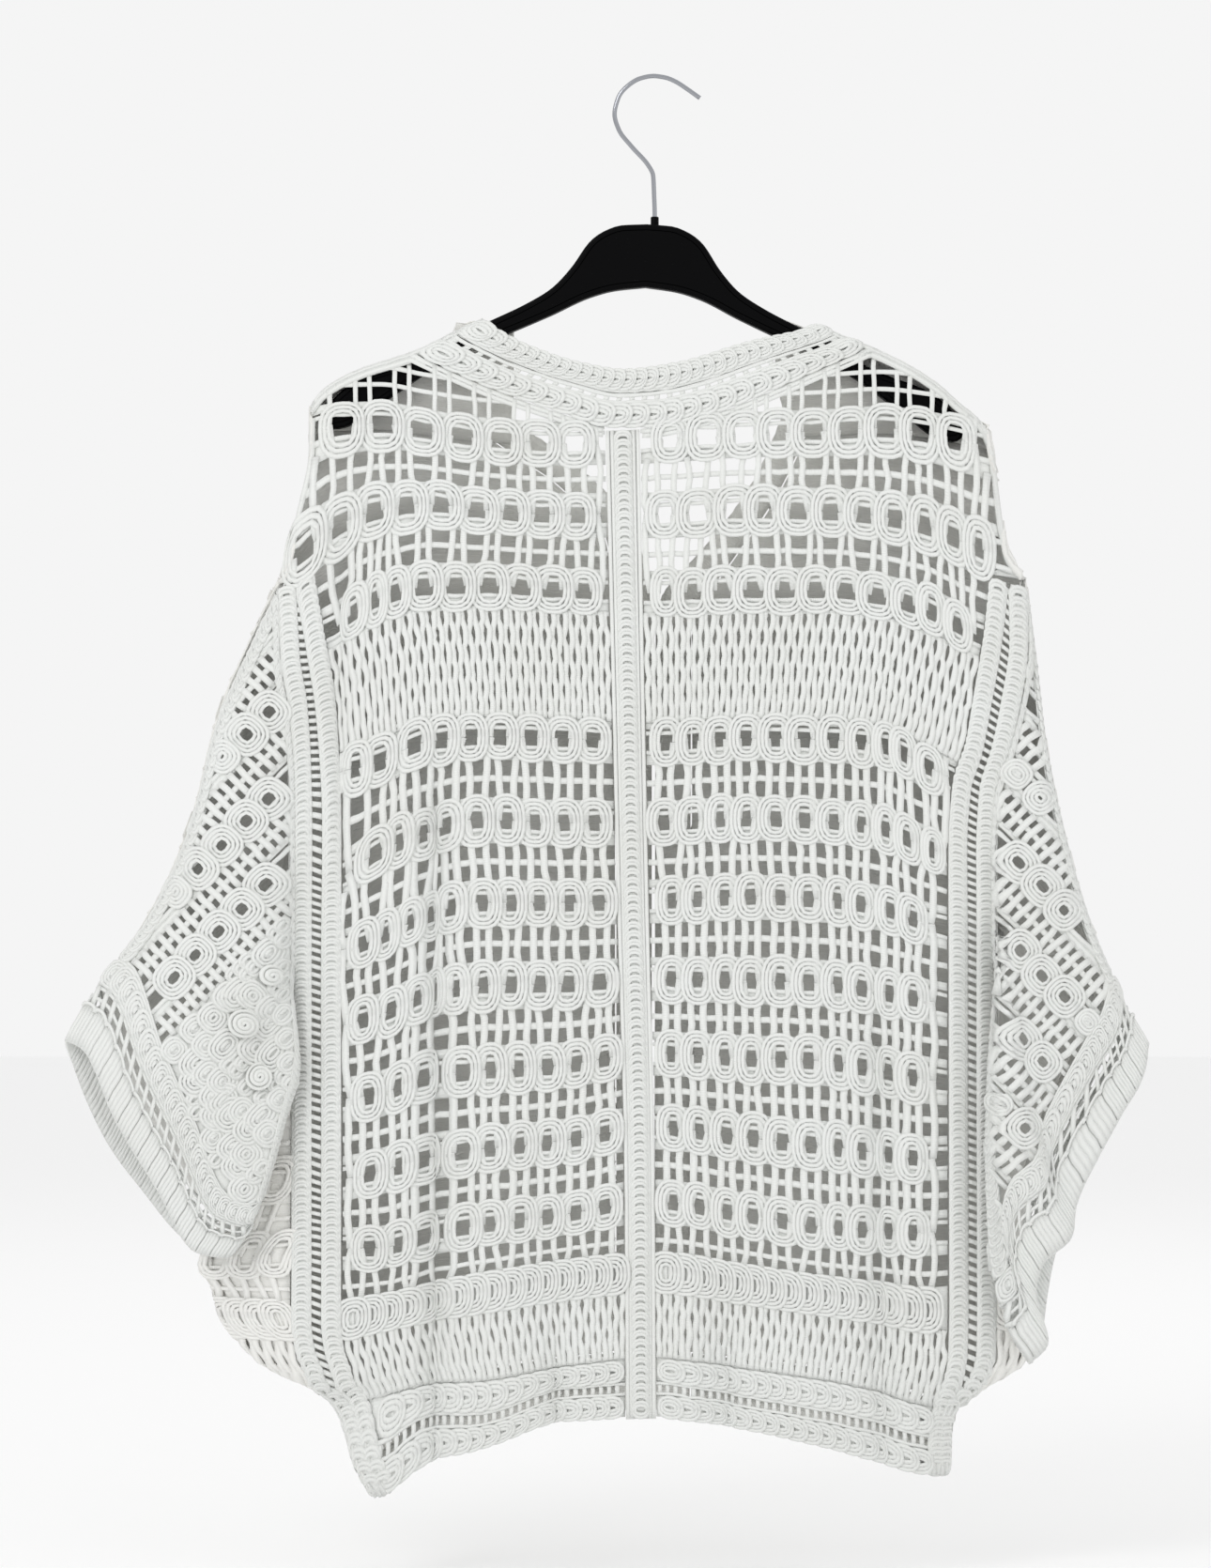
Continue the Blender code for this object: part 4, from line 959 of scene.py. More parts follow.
def layStrip(lace, left, right, middle, cords, top, sizes):
    # a strip down to the hem, with upright cords and a row of small loops between them
    across, down = sizes["cells"]
    laySheet(lace, left, right, hemBottom, top, across=across, down=down)
    for x in cords:
        uprightCord(lace, x, top, hemBottom, 1.7, sizes["cordWidth"])
    chain(lace, top - 3, hemBottom + 3, middle, *sizes["loops"], True, *sizes["loopCord"], cords=2)


# Places across a strip are shares of its width, and of half its width from the middle for the centre strip,
# whose top is an x and a z. Loops have a pitch and half sizes; their cord has how far it stands out, how far
# it leans and its width
centreLace = {"sheet": 0.95, "cords": (-0.88, -0.62, 0.62, 0.88), "top": (-19.8, -226.5), "cells": (6, 80),
              "cordWidth": 2.4, "loops": (5.6, 6.0, 5.4), "loopCord": (2.2, 0.8, 2.1)}


def centreStrip():
    lace = newLace()
    top = float(heightAt(*np.array(centreLace["top"])[:, None])[0])

    def line(share):
        return lambda h: along(centreBand, 1, h) + share * along(centreBand, 2, h)

    edges = line(-centreLace["sheet"]), line(centreLace["sheet"])
    layStrip(lace, *edges, line(0), map(line, centreLace["cords"]), top, centreLace)
    cut, rests = (*edges, hemBottom, top), ["backLace_left", "backLace_right"]
    finishCloth(lace, backCloth, False, "centreLace", "centre_back_band", cut, rests)


stripLace = {"halves": ((0.02, 0.4), (0.6, 0.98)), "cordInset": 0.03, "cells": (3, 90), "cordWidth": 2.2,
             "loops": (5.4, 6.2, 5.4), "loopCord": (1.7, 0.6, 2.0),
             "bars": (0.36, 0.64), "barPitch": 5.4, "slant": 1.6}


def sideStrip(side):
    word, band = sideWords[side], sideBands[side]
    lace = newLace()

    def line(share):
        return lambda h: along(band, 1, h) * (1 - share) + along(band, 2, h) * share

    top, foot, halves = sleeveHead - 3, hemBottom, stripLace["halves"]
    for low, high in halves:
        edges, inset = (line(low), line(high))[::-side], stripLace["cordInset"]
        cords = line(low + inset), line(high - inset)
        layStrip(lace, *edges, line((low + high) / 2), cords, top, stripLace)
    # slanted bars leave a column of small holes
    slant = stripLace["slant"] * np.array([-1, 0, 1]) * side
    for height in np.arange(top - 4, foot + 3, -stripLace["barPitch"]):
        ends = (float(line(share)(height)) for share in stripLace["bars"])
        layAlong(lace, np.linspace(*ends, 3), height + slant, 1.2, width=2.6, thick=1.5)
    edges = (line(halves[0][0]), line(halves[-1][-1]))[::-side]
    cut, rests = (*edges, foot, top), ["backLace_" + word]
    finishCloth(lace, backCloth, False, "sideStripLace_" + word, "side_band_" + word, cut, rests)


# The neck band and the hem bands: two looped bands each. Places up and down are measured from the neck band's
# upper edge, and are row heights for the hem. A row of loops has its inset at the ends, its middle, its pitch
# and half sizes, then how far it stands out, how far it leans and the thickness of its cord
neckLace = {
    "long": 262.0, "wide": 36.0, "cell": 4.36, "middle": 18.5,
    "sheets": ((0.6, 15.0), (20.5, 35.4)), "cords": (13.6, 16.4, 20.6), "cordOut": 1.7, "cordWidth": 2.2,
    "bars": (16.0, 18.5, 21.0), "barOut": (1.3, 1.4, 1.3), "barBow": 0.6, "barWidth": 3.6,
    "barPitch": 8.4, "barInset": (4, 2),
    "loops": ((3, 6.6, 8.2, 7.6, 7.0, 2.2, 0.9, 2.1), (4, 28.4, 10.5, 9.8, 7.8, 2.2, 1.0, 2.3)),
}
hemLace = {
    "cell": 5, "middle": -838.0,
    "sheets": ((-833.5, hemTop - 0.6), (hemBottom + 1.5, -841.0)), "cords": (-834.2, -840.8), "cordOut": 1.6,
    "cordWidth": 1.8, "bars": (-834.0, -837.5, -841.0), "barOut": (1.2, 1.4, 1.2), "barBow": 0.4,
    "barWidth": 2.5, "barPitch": 5.2, "barInset": (2, 1),
    "loops": ((5, -826.3, 9.0, 9.2, 7.6, 2.1, 1.0, 2.2), (5, -849.2, 8.4, 8.6, 7.6, 2.1, 1.0, 2.2)),
}


def neckSurface(a, b):
    # a runs along the band from its left end, b down from its upper edge
    share = np.clip(a / neckLace["long"], 0, 1)
    down = b / neckLace["wide"]
    upper = neckEdge[0][0] + (neckEdge[-1][0] - neckEdge[0][0]) * share
    lower = neckSeam[0][0] + (neckSeam[-1][0] - neckSeam[0][0]) * share
    x = upper * (1 - down) + lower * down
    z = along(neckEdge, 1, upper) * (1 - down) + along(neckSeam, 1, lower) * down
    return backCloth(x, heightAt(x, z))


def neckBand():
    lace, edges = newLace(), (0.0, neckLace["long"])
    joinedBands(lace, *edges, neckLace)
    cut, rests = (*edges, 0.0, neckLace["wide"]), ["backLace_left", "backLace_right"]
    finishCloth(lace, neckSurface, False, "neckLace", "neck_band_back", cut, rests)


def joinedBands(lace, left, right, sizes):
    # two looped bands, with a row of holes between the bars that join them
    start, end = spanAt(left, right, sizes["middle"])
    across = max(int((end - start) / sizes["cell"]), 3)
    for low, high in sizes["sheets"]:
        laySheet(lace, left, right, low, high, across=across, down=3)
    levelCords(lace, left, right, sizes["cords"], sizes["cordOut"], width=sizes["cordWidth"])
    first, last = sizes["barInset"]
    for x in np.arange(start + first, end - last, sizes["barPitch"]):
        run = (x, x + sizes["barBow"], x), sizes["bars"], sizes["barOut"]
        layAlong(lace, *run, sizes["barWidth"], thick=1.5)
    for inset, middle, pitch, halfLong, halfWide, *cord in sizes["loops"]:
        chain(lace, start + inset, end - inset, middle, pitch, halfLong, halfWide, False, *cord)


def hemBand(side, front):
    word = ("front_" if front else "back_") + sideWords[side]
    edges = (0.6, frontEdges(side)[1]) if front else panelEdges(side)
    surface = frontSurface(side) if front else backCloth
    lace = newLace()
    joinedBands(lace, *edges, hemLace)
    cut, rests = (*edges, hemBottom, hemTop), [("frontLace_" if front else "backLace_") + sideWords[side]]
    name = ("hemLaceFront_" if front else "hemLaceBack_") + sideWords[side]
    finishCloth(lace, surface, front, name, "hem_band_" + word, cut, rests)


def frontSurface(side):
    # a runs from the side fold to the opening, and is below zero on the back's side of the fold
    edge = foldEdges[side]

    def surface(a, height):
        fold = along(edge, 1, height)
        x = fold - side * np.abs(a)
        behind, ahead = backCloth(x, height), frontCloth(x, height)
        # the rows are level with the back's at the fold and hang less towards the opening
        hang = (1 - np.clip(a / 60, 0, 1)) * (1 - frontDroop) * droop(x, height)
        ahead[..., 2] += hang * (height < underarm + 20)
        return np.where((a < 0)[..., None], behind, ahead)

    return surface


def frontEdges(side):
    # where a front starts, behind the side fold, and where it meets the band of the opening
    edge, band = foldEdges[side], sideBands[side]
    _, _, innerZ, innerX = openingLines(side)

    def start(height):
        height = np.asarray(height, float)
        inset = np.abs(along(band, 1, height) - along(edge, 1, height))
        return np.where(height > sleeveHead, 1.0, np.where(height > underarm, inset + 1.0, 0.6 - inset))

    def end(height):
        height = np.asarray(height, float)
        x = np.full(height.shape, side * 60.0)
        for _ in range(8):
            z = height + droop(x, height) * frontDroop
            x = np.interp(-z, -innerZ, innerX) + side * seam
        return np.abs(x - along(edge, 1, height))

    return start, end


def frontHalf(side):
    word, edge = sideWords[side], foldEdges[side]
    start, end = frontEdges(side)
    lace, ground = newLace(), newLace(False)

    def row(height):
        first, last = spanAt(start, end, height)
        spots = np.arange(-94.0, 400, frontSizes["pitch"]) + 8
        return spots[(spots > first + 5) & (spots < last - 5)]

    rows = [row(height) for height in ringRows]
    ringedRows(lace, start, end, rows, frontSizes, frontSizes["tilt"])
    panelBands(lace, start, end, rows[-1], hemTop + 1)
    # a close ground behind the cords keeps the fronts from being seen through
    lowest = ringRows[0]
    laySheet(ground, start, end, hemTop + 1, lowest, across=30, down=110, **groundLayer)
    # up to the shoulder
    a = besideRings(rows[0], *spanAt(start, end, lowest))
    x = along(edge, 1, np.full(len(a), lowest)) - side * a
    heights = lowest + (topOf(x, True) - lowest)[:, None] * np.linspace(0, 1, 6)[None, :]
    fold = along(edge, 1, heights.ravel()).reshape(heights.shape)
    a = np.abs(x[:, None] - fold)
    layAlong(lace, a, heights, 1.5, shoulderNet["width"], shoulderNet["thick"])
    levels = np.arange(lowest, -160.0, 3.0)
    spans = []
    for line in levels:
        fold = float(along(edge, 1, np.array([line]))[0])
        x = fold - side * np.arange(0.5, 130, 1.0)
        a = np.abs(x[topOf(x, True) > line + 1.5] - fold)
        spans.append((a.min(), a.max()) if len(a) > 6 else (spans[-1][1] - 1, spans[-1][1]))
    spans = np.array(spans)
    inner, outer = (lambda h, k=k: np.interp(h, levels, spans[:, k]) for k in (0, 1))
    laySheet(ground, inner, outer, lowest, float(levels[-1]), across=20, down=24, **groundLayer)
    levelCords(lace, inner, outer, shoulderNet["lines"], width=2.8)
    surface, cut, rests = frontSurface(side), (start, end, hemTop, panel["cutTop"]), ["hangerMoulding"]
    finishCloth(lace, surface, True, "frontLace_" + word, "front_" + word, cut, rests, ground=ground)


# Sizes across the band, from the open edge; below the neck it widens by "reach", to about 2 mm from the other
openingLace = {"reach": 5.2, "meets": 330.0, "widens": 60, "cords": (13.8, 16.4),
                "loopMiddle": 7.4, "loops": (8.2, 8.4, 7.6)}


def frontBandSurface(side):
    z, x, innerZ, innerX = openingLines(side)
    run = np.concatenate([[0], np.cumsum(np.hypot(np.diff(x), np.diff(z)))])

    def surface(a, b):
        # a across from the open edge, b down along it
        share = a / frontBandWidth
        outer, inner = ([np.interp(-b, run, line) for line in pair] for pair in ((x, z), (innerX, innerZ)))
        px, pz = (outer[k] * (1 - share) + inner[k] * share for k in (0, 1))
        return frontCloth(px, heightAt(px, pz, True))

    def downTo(height):
        return float(np.interp(height, -z, run))

    return surface, downTo


def frontBand(side):
    word = sideWords[side]
    surface, downTo = frontBandSurface(side)
    long, meet = downTo(-(hemBottom + 1)), downTo(openingLace["meets"])
    lace = newLace()

    def edge(height):
        widens = openingLace["widens"]
        return -openingLace["reach"] * np.clip((-height - meet + widens) / widens, 0, 1)

    laySheet(lace, edge, frontBandWidth - 0.4, -long, -3.0, across=4, down=90)
    for x in (lambda h: edge(h) + 1.2, *openingLace["cords"]):
        uprightCord(lace, x, -3.0, -long, out=1.7, width=2.3)
    sizes = openingLace["loops"]
    middle = openingLace["loopMiddle"]
    chain(lace, -6, -long + 5, lambda h: middle + edge(h) / 2, *sizes, True, lift=2.1, lean=0.9, cord=2.1)
    cut, rests = (edge, frontBandWidth, -long, -3.0), ["frontLace_" + word]
    finishCloth(lace, surface, True, "openingLace_" + word, "front_band_" + word, cut, rests)


# A sleeve's flat cloth and its edging, then the plan for its slanting rows, with its start and its way as the
# photo shows them, and the sizes of the rings and of the net between them
sleeveLace = {
    "long": 335.0, "wide": 215.0, "cuffAt": 0.87, "bandWide": 21, "foldWide": 11.5,
    "x": 238.0, "z": -324.0, "way": (0.686, -0.728), "seamAt": 0.803,
    "ringWide": 13.4, "ringTall": 12.8, "ringPitch": 20.5,
    "netPitch": 7.4, "netWidth": 4.3, "levelWidth": 3.4, "clear": 9.5,
}
# Pitch and half sizes of the loops: before the cuff, along the folds and along the armhole
sleeveLoops = {"cuff": (9.5, 9.4, 10.6), "fold": (7.6, 7.4, 5.8), "armhole": (6.6, 6.6, 6.2)}
# The swirls start this far below the last row; their sizes are from and to, and small loops fill what is left
swirlLace = {"below": 33, "rowPitch": 11.0, "pitch": 13.5, "spread": (2.5, 2), "wide": (9, 13),
             "tall": (8.5, 11), "clearOfKnobs": 6.5, "room": 5, "pastEdge": 0.8,
             "fillBelow": 26, "fillPitch": 6.0, "fillSize": 5.6, "fillRoom": 3.5, "fillReach": 4.0}


def sleeveSurface(side, front):
    def surface(a, b):
        s = np.clip(a / sleeveLace["long"], 0, 1)
        v = np.clip(-b / sleeveLace["wide"], 0, 1)
        return sleeveCloth(side, front, s, v)

    return surface


# How far each row lies below the plan's start; both front halves have the right sleeve's rows
sleeveRows = {-1: (14.0, 51.0, 89.0, 125.0), 1: (14.0, 51.0, 89.0, 127.0, 165.0, 203.0, 241.0, 279.0, 317.0)}


def onPlan(side, x, z):
    # rows of the sleeve's lace run down along "way"; up is towards its upper fold
    over, down = sleeveLace["way"]
    x, z = x - side * sleeveLace["x"], z - sleeveLace["z"]
    return side * over * x + down * z, -(side * down * x - over * z)


def sleevePlan(side, front):
    # the sleeve's cloth found again from its place as the photo shows it, and how far the rows reach
    s, v = np.meshgrid(np.linspace(0, 1, 150), np.linspace(0, 1, 110), indexing="ij")
    point = sleeveCloth(side, front, s, v)
    a, b = onPlan(side, point[..., 0], point[..., 2])
    y = point[..., 1]
    (aAlong, aDown), (bAlong, bDown), (yAlong, yDown) = (np.gradient(part) for part in (a, b, y))
    turn = aAlong * bDown - aDown * bAlong
    turn = np.where(np.abs(turn) < 0.05, 0.05 * np.sign(turn + 1e-9), turn)
    slopeA = ((yAlong * bDown - yDown * bAlong) / turn).ravel()
    slopeB = ((yDown * aAlong - yAlong * aDown) / turn).ravel()
    tree = KDTree(a.size)
    for index, spot in enumerate(zip(a.ravel(), b.ravel())):
        tree.insert((*spot, 0), index)
    tree.balance()
    flatA, flatB, flatY = a.ravel(), b.ravel(), y.ravel()
    over, down = sleeveLace["way"]

    def surface(placeA, placeB):
        placeA, placeB = np.broadcast_arrays(np.asarray(placeA, float), np.asarray(placeB, float))
        spots = zip(placeA.ravel(), placeB.ravel())
        near = np.array([tree.find((*spot, 0))[1] for spot in spots]).reshape(placeA.shape)
        change = slopeA[near] * (placeA - flatA[near]) + slopeB[near] * (placeB - flatB[near])
        deep = flatY[near] + np.clip(change, -1.5, 1.5)
        x = side * sleeveLace["x"] + side * (over * placeA - down * placeB)
        z = sleeveLace["z"] + down * placeA + over * placeB
        return np.stack([x, deep, z], axis=-1)

    inside = s <= sleeveLace["seamAt"]
    levels = np.arange(b[inside].min() + 2, b[inside].max() - 1, 2.0)
    level = [a[inside & (np.abs(b - height) < 2)] for height in levels]
    reach = np.array([(spots.min(), spots.max()) for spots in level])
    left, right = (lambda h, k=k: np.interp(h, levels, reach[:, k]) for k in (0, 1))
    cells = np.linalg.norm(np.cross(*(np.gradient(point, axis=k) for k in (0, 1))), axis=-1)
    # the edges of the cloth before the cuff
    rim = int(inside[:, 0].sum())
    lines = (np.s_[:rim + 1, 0], np.s_[:rim + 1, -1], np.s_[0, :], np.s_[rim, :])
    border = np.concatenate([np.stack([a[line], b[line]], axis=1) for line in lines])
    return surface, left, right, levels, border, cells[inside].sum() * mm * mm


def sleeveSwirls(lace, left, right, low, lowest, roomAt):
    # close swirls fill the lower part, round the coiled knobs
    knobs = [(*onPlan(-1, x, z), radius) for x, z, radius in coils]
    swirls, sizes = list(knobs), swirlLace
    for height in np.arange(lowest - sizes["below"], low + 5, -sizes["rowPitch"]):
        start, end = spanAt(left, right, height)
        spots = np.arange(start + 7, end - 4, sizes["pitch"])
        spread = zip((spots, height), sizes["spread"])
        spots = np.stack([place + rng.normal(0, wobble, len(spots)) for place, wobble in spread], axis=1)
        for a, b, radius in knobs:
            away = np.linalg.norm(spots - np.array((a, b)), axis=1)
            spots = spots[away > radius + sizes["clearOfKnobs"]]
        room = roomAt(*spots.T)
        fits = room > sizes["room"]
        spots, room = spots[fits], room[fits] + sizes["pastEdge"]
        wide, tall = (np.minimum(rng.uniform(*sizes[way], len(spots)), room) for way in ("wide", "tall"))
        layRings(lace, spots, wide, tall, lift=1.6, tilt=0.7, lean=0.5, cords=4)
        swirls += list(zip(*spots.T, np.minimum(wide, tall)))
    # small loops wherever the ground would still show bare
    pitch, size = sizes["fillPitch"], sizes["fillSize"]
    for height in np.arange(lowest - sizes["fillBelow"], low + 3, -pitch):
        start, end = spanAt(left, right, height)
        for spot in np.arange(start + 3, end - 2, pitch):
            bare = all(math.dist((spot, height), swirl[:2]) > swirl[2] + 1 for swirl in swirls)
            if bare and roomAt(spot, height)[0] > sizes["fillRoom"]:
                loop = {"lift": 1.5, "tilt": 0.5, "lean": 0.4, "cords": 2, "points": (13, 11)}
                layRings(lace, [(spot, height)], size, size, **loop)
                swirls.append((spot, height, sizes["fillReach"]))


def sleeveEdging(last):
    # dense loops and a rolled cord along both folds and the armhole, then the looped band before the cuff
    band, wide, fold = newLace(), sleeveLace["wide"], sleeveLace["foldWide"]
    inset, loops = last - sleeveLace["bandWide"], sleeveLoops
    laySheet(band, inset, last, 1 - wide, -1.0, across=3, down=40)
    chain(band, -4, 4 - wide, last - 10.5, *loops["cuff"], True, lift=2.1, lean=1.0, cord=2.3, cords=4)
    for a in (inset - 0.5, last - 1):
        uprightCord(band, a, -1.0, 1 - wide)
    for low, high in ((-fold, -0.5), (0.5 - wide, fold - wide)):
        laySheet(band, 0.5, inset, low, high, across=50, down=3)
        middle = (low + high) / 2
        chain(band, 4, last - 24, middle, *loops["fold"], False, lift=1.8, lean=0.8, cord=2.25)
    laySheet(band, 0.5, 12.0, 0.5 - wide, -0.5, across=3, down=40)
    chain(band, -6, 6 - wide, 6.4, *loops["armhole"], True, lift=1.8, lean=0.8, cord=2.25)
    for b in (-1.4, 1.4 - wide):
        layAlong(band["loops"], np.linspace(1, inset, 50), b, 1.2, width=3.0, thick=2.0)
    uprightCord(band, 1.4, -1.0, 1 - wide, out=1.2, width=3.0)
    return band


def sleeveHalf(side, front):
    word = sideWords[side] + ("_front" if front else "_back")
    surface, left, right, levels, border, area = sleevePlan(side, front)
    low, high = float(levels[0]), float(levels[-1])
    wide, tall = sleeveLace["ringWide"], sleeveLace["ringTall"]
    lace = newLace()

    def roomAt(found, height):
        # how far places are from the edges of the cloth
        spots = np.column_stack(np.broadcast_arrays(found, height))
        return np.linalg.norm(spots[:, None] - border[None], axis=2).min(axis=1)

    def netBetween(upper, lower, lines):
        # short uprights between two rows of rings, kept inside the cloth's edges
        heights = np.linspace(upper - sleeveLace["clear"], lower + sleeveLace["clear"], 4)
        start, end = spanAt(left, right, heights.mean())
        x = np.arange(start + 3, end - 2, sleeveLace["netPitch"])
        x = np.clip(x[:, None] + rng.normal(0, 0.45, (len(x), 4)), left(heights) + 2, right(heights) - 2)
        layAlong(lace, x, heights, 1.5, sleeveLace["netWidth"], net["thick"])
        levelCords(lace, left, right, lines, width=sleeveLace["levelWidth"])

    rows = [-row for row in sleeveRows[1 if front else side] if low + 8 < -row < high - 4]
    grid = np.arange(-205, 600, sleeveLace["ringPitch"]) + 4
    for height in rows:
        start, end = spanAt(left, right, height)
        found = grid[(grid > start + 5) & (grid < end - 5)]
        laceRow(lace, left, right, height, found, wide, -0.8, tall, roomAt, 4)
    netBetween(high + 8.5, rows[0], [])
    for upper, lower in zip(rows, rows[1:]):
        netBetween(upper, lower, [(upper + lower) / 2])
    lowest, foot = rows[-1], low + 1
    if side < 0 and not front:
        laySheet(lace, left, right, low, lowest - 22, across=16, down=16)
        netBetween(lowest, lowest - 34, [lowest - 17])
        sleeveSwirls(lace, left, right, low, lowest, roomAt)
    elif lowest - 20 > low:
        netBetween(lowest, foot - sleeveLace["clear"], np.arange(lowest - 19, foot, -12))
    last = sleeveLace["long"] * sleeveLace["cuffAt"] - 1
    ornaments, ground, own = [], None, sleeveSurface(side, front)
    if front:
        ground = newLace(False)
        laySheet(ground, left, right, low, high, across=40, down=50, **groundLayer)
    elif side < 0:
        ornaments = coiledKnobs(surface)
    cut = 0.0, last - sleeveLace["bandWide"], -sleeveLace["wide"], 0.0
    rests = [("frontLace_" if front else "backLace_") + sideWords[side]]
    finishCloth(
        lace, surface, front, "sleeveLace_" + word, "sleeve_" + word, cut, rests, ornaments=ornaments,
        ground=ground, area=area, edging=(sleeveEdging(last), own),
    )


coils = ((-245.4, -574.8, 6.5), (-261.6, -605.4, 9.0), (-251.4, -639.6, 8.6))  # x, z, radius


def coiledKnobs(surface):
    # each knob is one cord that winds outwards, highest in its middle
    made, pitch = [], 2.5  # from one turn of the cord to the next
    for number, (x, z, radius) in enumerate(coils, 1):
        a, b = onPlan(-1, x, z)
        lace = newLace(False)
        turn = np.linspace(0.6, 2 * math.pi * radius / pitch, 60)
        reach = pitch * turn / (2 * math.pi)
        dome = 1.6 + 0.75 * np.sqrt(np.maximum(radius ** 2 - reach ** 2, 0))
        layAlong(lace, a + reach * np.cos(turn), b + reach * np.sin(turn), dome, 2.9, 2.8, sides=6)
        piece = drape(lace, surface, -1, cordWhite, f"coiledCord_{number}", gap=1.5)
        made.append(standFor(piece, f"coil_knob_{number}"))
    return made


# Half the way round a cuff, and its length; then places along it
cuffSizes = {"half": 165.0, "long": 44.0, "netPitch": 7.5, "netLines": (0.6, 7.8), "sheet": (15.5, 43.0),
             "stitchPitch": 10.0, "strands": 4, "strandPitch": 2.35, "edgeLines": (15.2, 42.8)}


def cuffLace(side):
    word, wide, long = sideWords[side], cuffSizes["half"], cuffSizes["long"]

    def surface(a, b):
        s = np.clip(sleeveLace["cuffAt"] + (1 - sleeveLace["cuffAt"]) * b / long, 0, 1)
        v = np.clip(1 - np.abs(a / wide - 1), 0, 1)
        back, front = sleeveCloth(side, False, s, v), sleeveCloth(side, True, s, v)
        return np.where((a < wide)[..., None], back, front)

    lace = newLace()
    ends = 0.5, 2 * wide - 0.5
    # a net of two rows, then long close stitches across the edge
    for a in np.arange(2, 2 * wide, cuffSizes["netPitch"]):
        layAlong(lace, (a, a + 2.2, a + 4.4), (-0.5, 7, 15), (1.3, 1.6, 1.4), width=2.7, thick=1.6)
    levelCords(lace, *ends, cuffSizes["netLines"], out=0.9, width=2.5)
    laySheet(lace, 0.2, 2 * wide - 0.2, *cuffSizes["sheet"], inner=0.2, outer=0.8, across=110, down=4)
    pitch, strands = cuffSizes["stitchPitch"], cuffSizes["strands"]
    tops = 15.0 + 1.6 * np.linspace(-1, 1, strands) ** 2
    for start in np.arange(0.6, 2 * wide - pitch, pitch):
        for number, top in enumerate(tops):
            a = start + 1.4 + cuffSizes["strandPitch"] * number
            run = (a, a + 0.3, a - 0.2, a + 0.1), (top, 24, 34, 43.4), (0.9, 1.2, 1.2, 0.9)
            layAlong(lace["loops"], *run, width=2.5, thick=3.1)
        arch = ringPaths([(start + 4.8, 17.0)], 5.0, 3.6, 9, lift=2.5, tilt=0.0, start=math.pi, sweep=math.pi)
        layCords(lace["loops"], arch, width=2.2, thick=1.9)
    levelCords(lace, *ends, cuffSizes["edgeLines"], out=1.4, spacing=4.0, width=2.4)
    cut, rests = (0.0, 2 * wide, 0.0, long, 0.25), ["sleeveLace_" + word + "_back"]
    finishCloth(lace, surface, False, "cuffLace_" + word, "cuff_" + word, cut, rests, told=0.48)


# The hanger's place, its tilt about the height "pivot", and its sizes
hanger = {
    "middle": -5.0, "tilt": math.radians(1.2), "pivot": -134, "thick": 14.0, "rounding": 2.0, "rim": 1.5,
    "groove": 0.25, "bossRadius": 2.6, "bossTop": -88.8, "bossDepth": 14.0, "brim": 0.7, "wire": 3.0,
}
hangerTop = (  # distance from the middle, z
    (0, -94), (16, -95), (26, -98.4), (35.4, -105), (48, -123), (60, -136.2), (76, -146.5),
    (105, -161), (148, -184.5), (185, -198.5), (199, -210.5), (206, -219),
)
hangerUnderside = (  # distance from the middle, z
    (206, -226), (200, -229.5), (194, -229), (167, -212), (140, -193), (105, -173),
    (90, -167), (60, -153.6), (35.4, -141.6), (19, -136.8), (0, -134.4),
)
hookRoute = (  # x, z from inside the boss round the crown to the tip
    (1.0, -97), (1.0, -88.5), (0.6, -75), (0, -62.4), (-3, -56), (-14, -43.5), (-22, -33), (-24.8, -23),
    (-22.2, -12), (-15.6, -4.2), (-7.8, 0.2), (0, 1.6), (7.8, 0.6), (14.4, -2), (21.6, -6.6), (30, -12.6),
)


def evenly(table, spacing):
    # points at even steps along a line through the table's
    table = np.asarray(table, float)
    knots = np.concatenate([[0], np.cumsum(np.linalg.norm(np.diff(table, axis=0), axis=1))])
    at = np.linspace(0, knots[-1], int(knots[-1] / spacing) + 1)
    return np.stack([smoothAt(knots, table[:, 0], at), smoothAt(knots, table[:, 1], at)], axis=1)


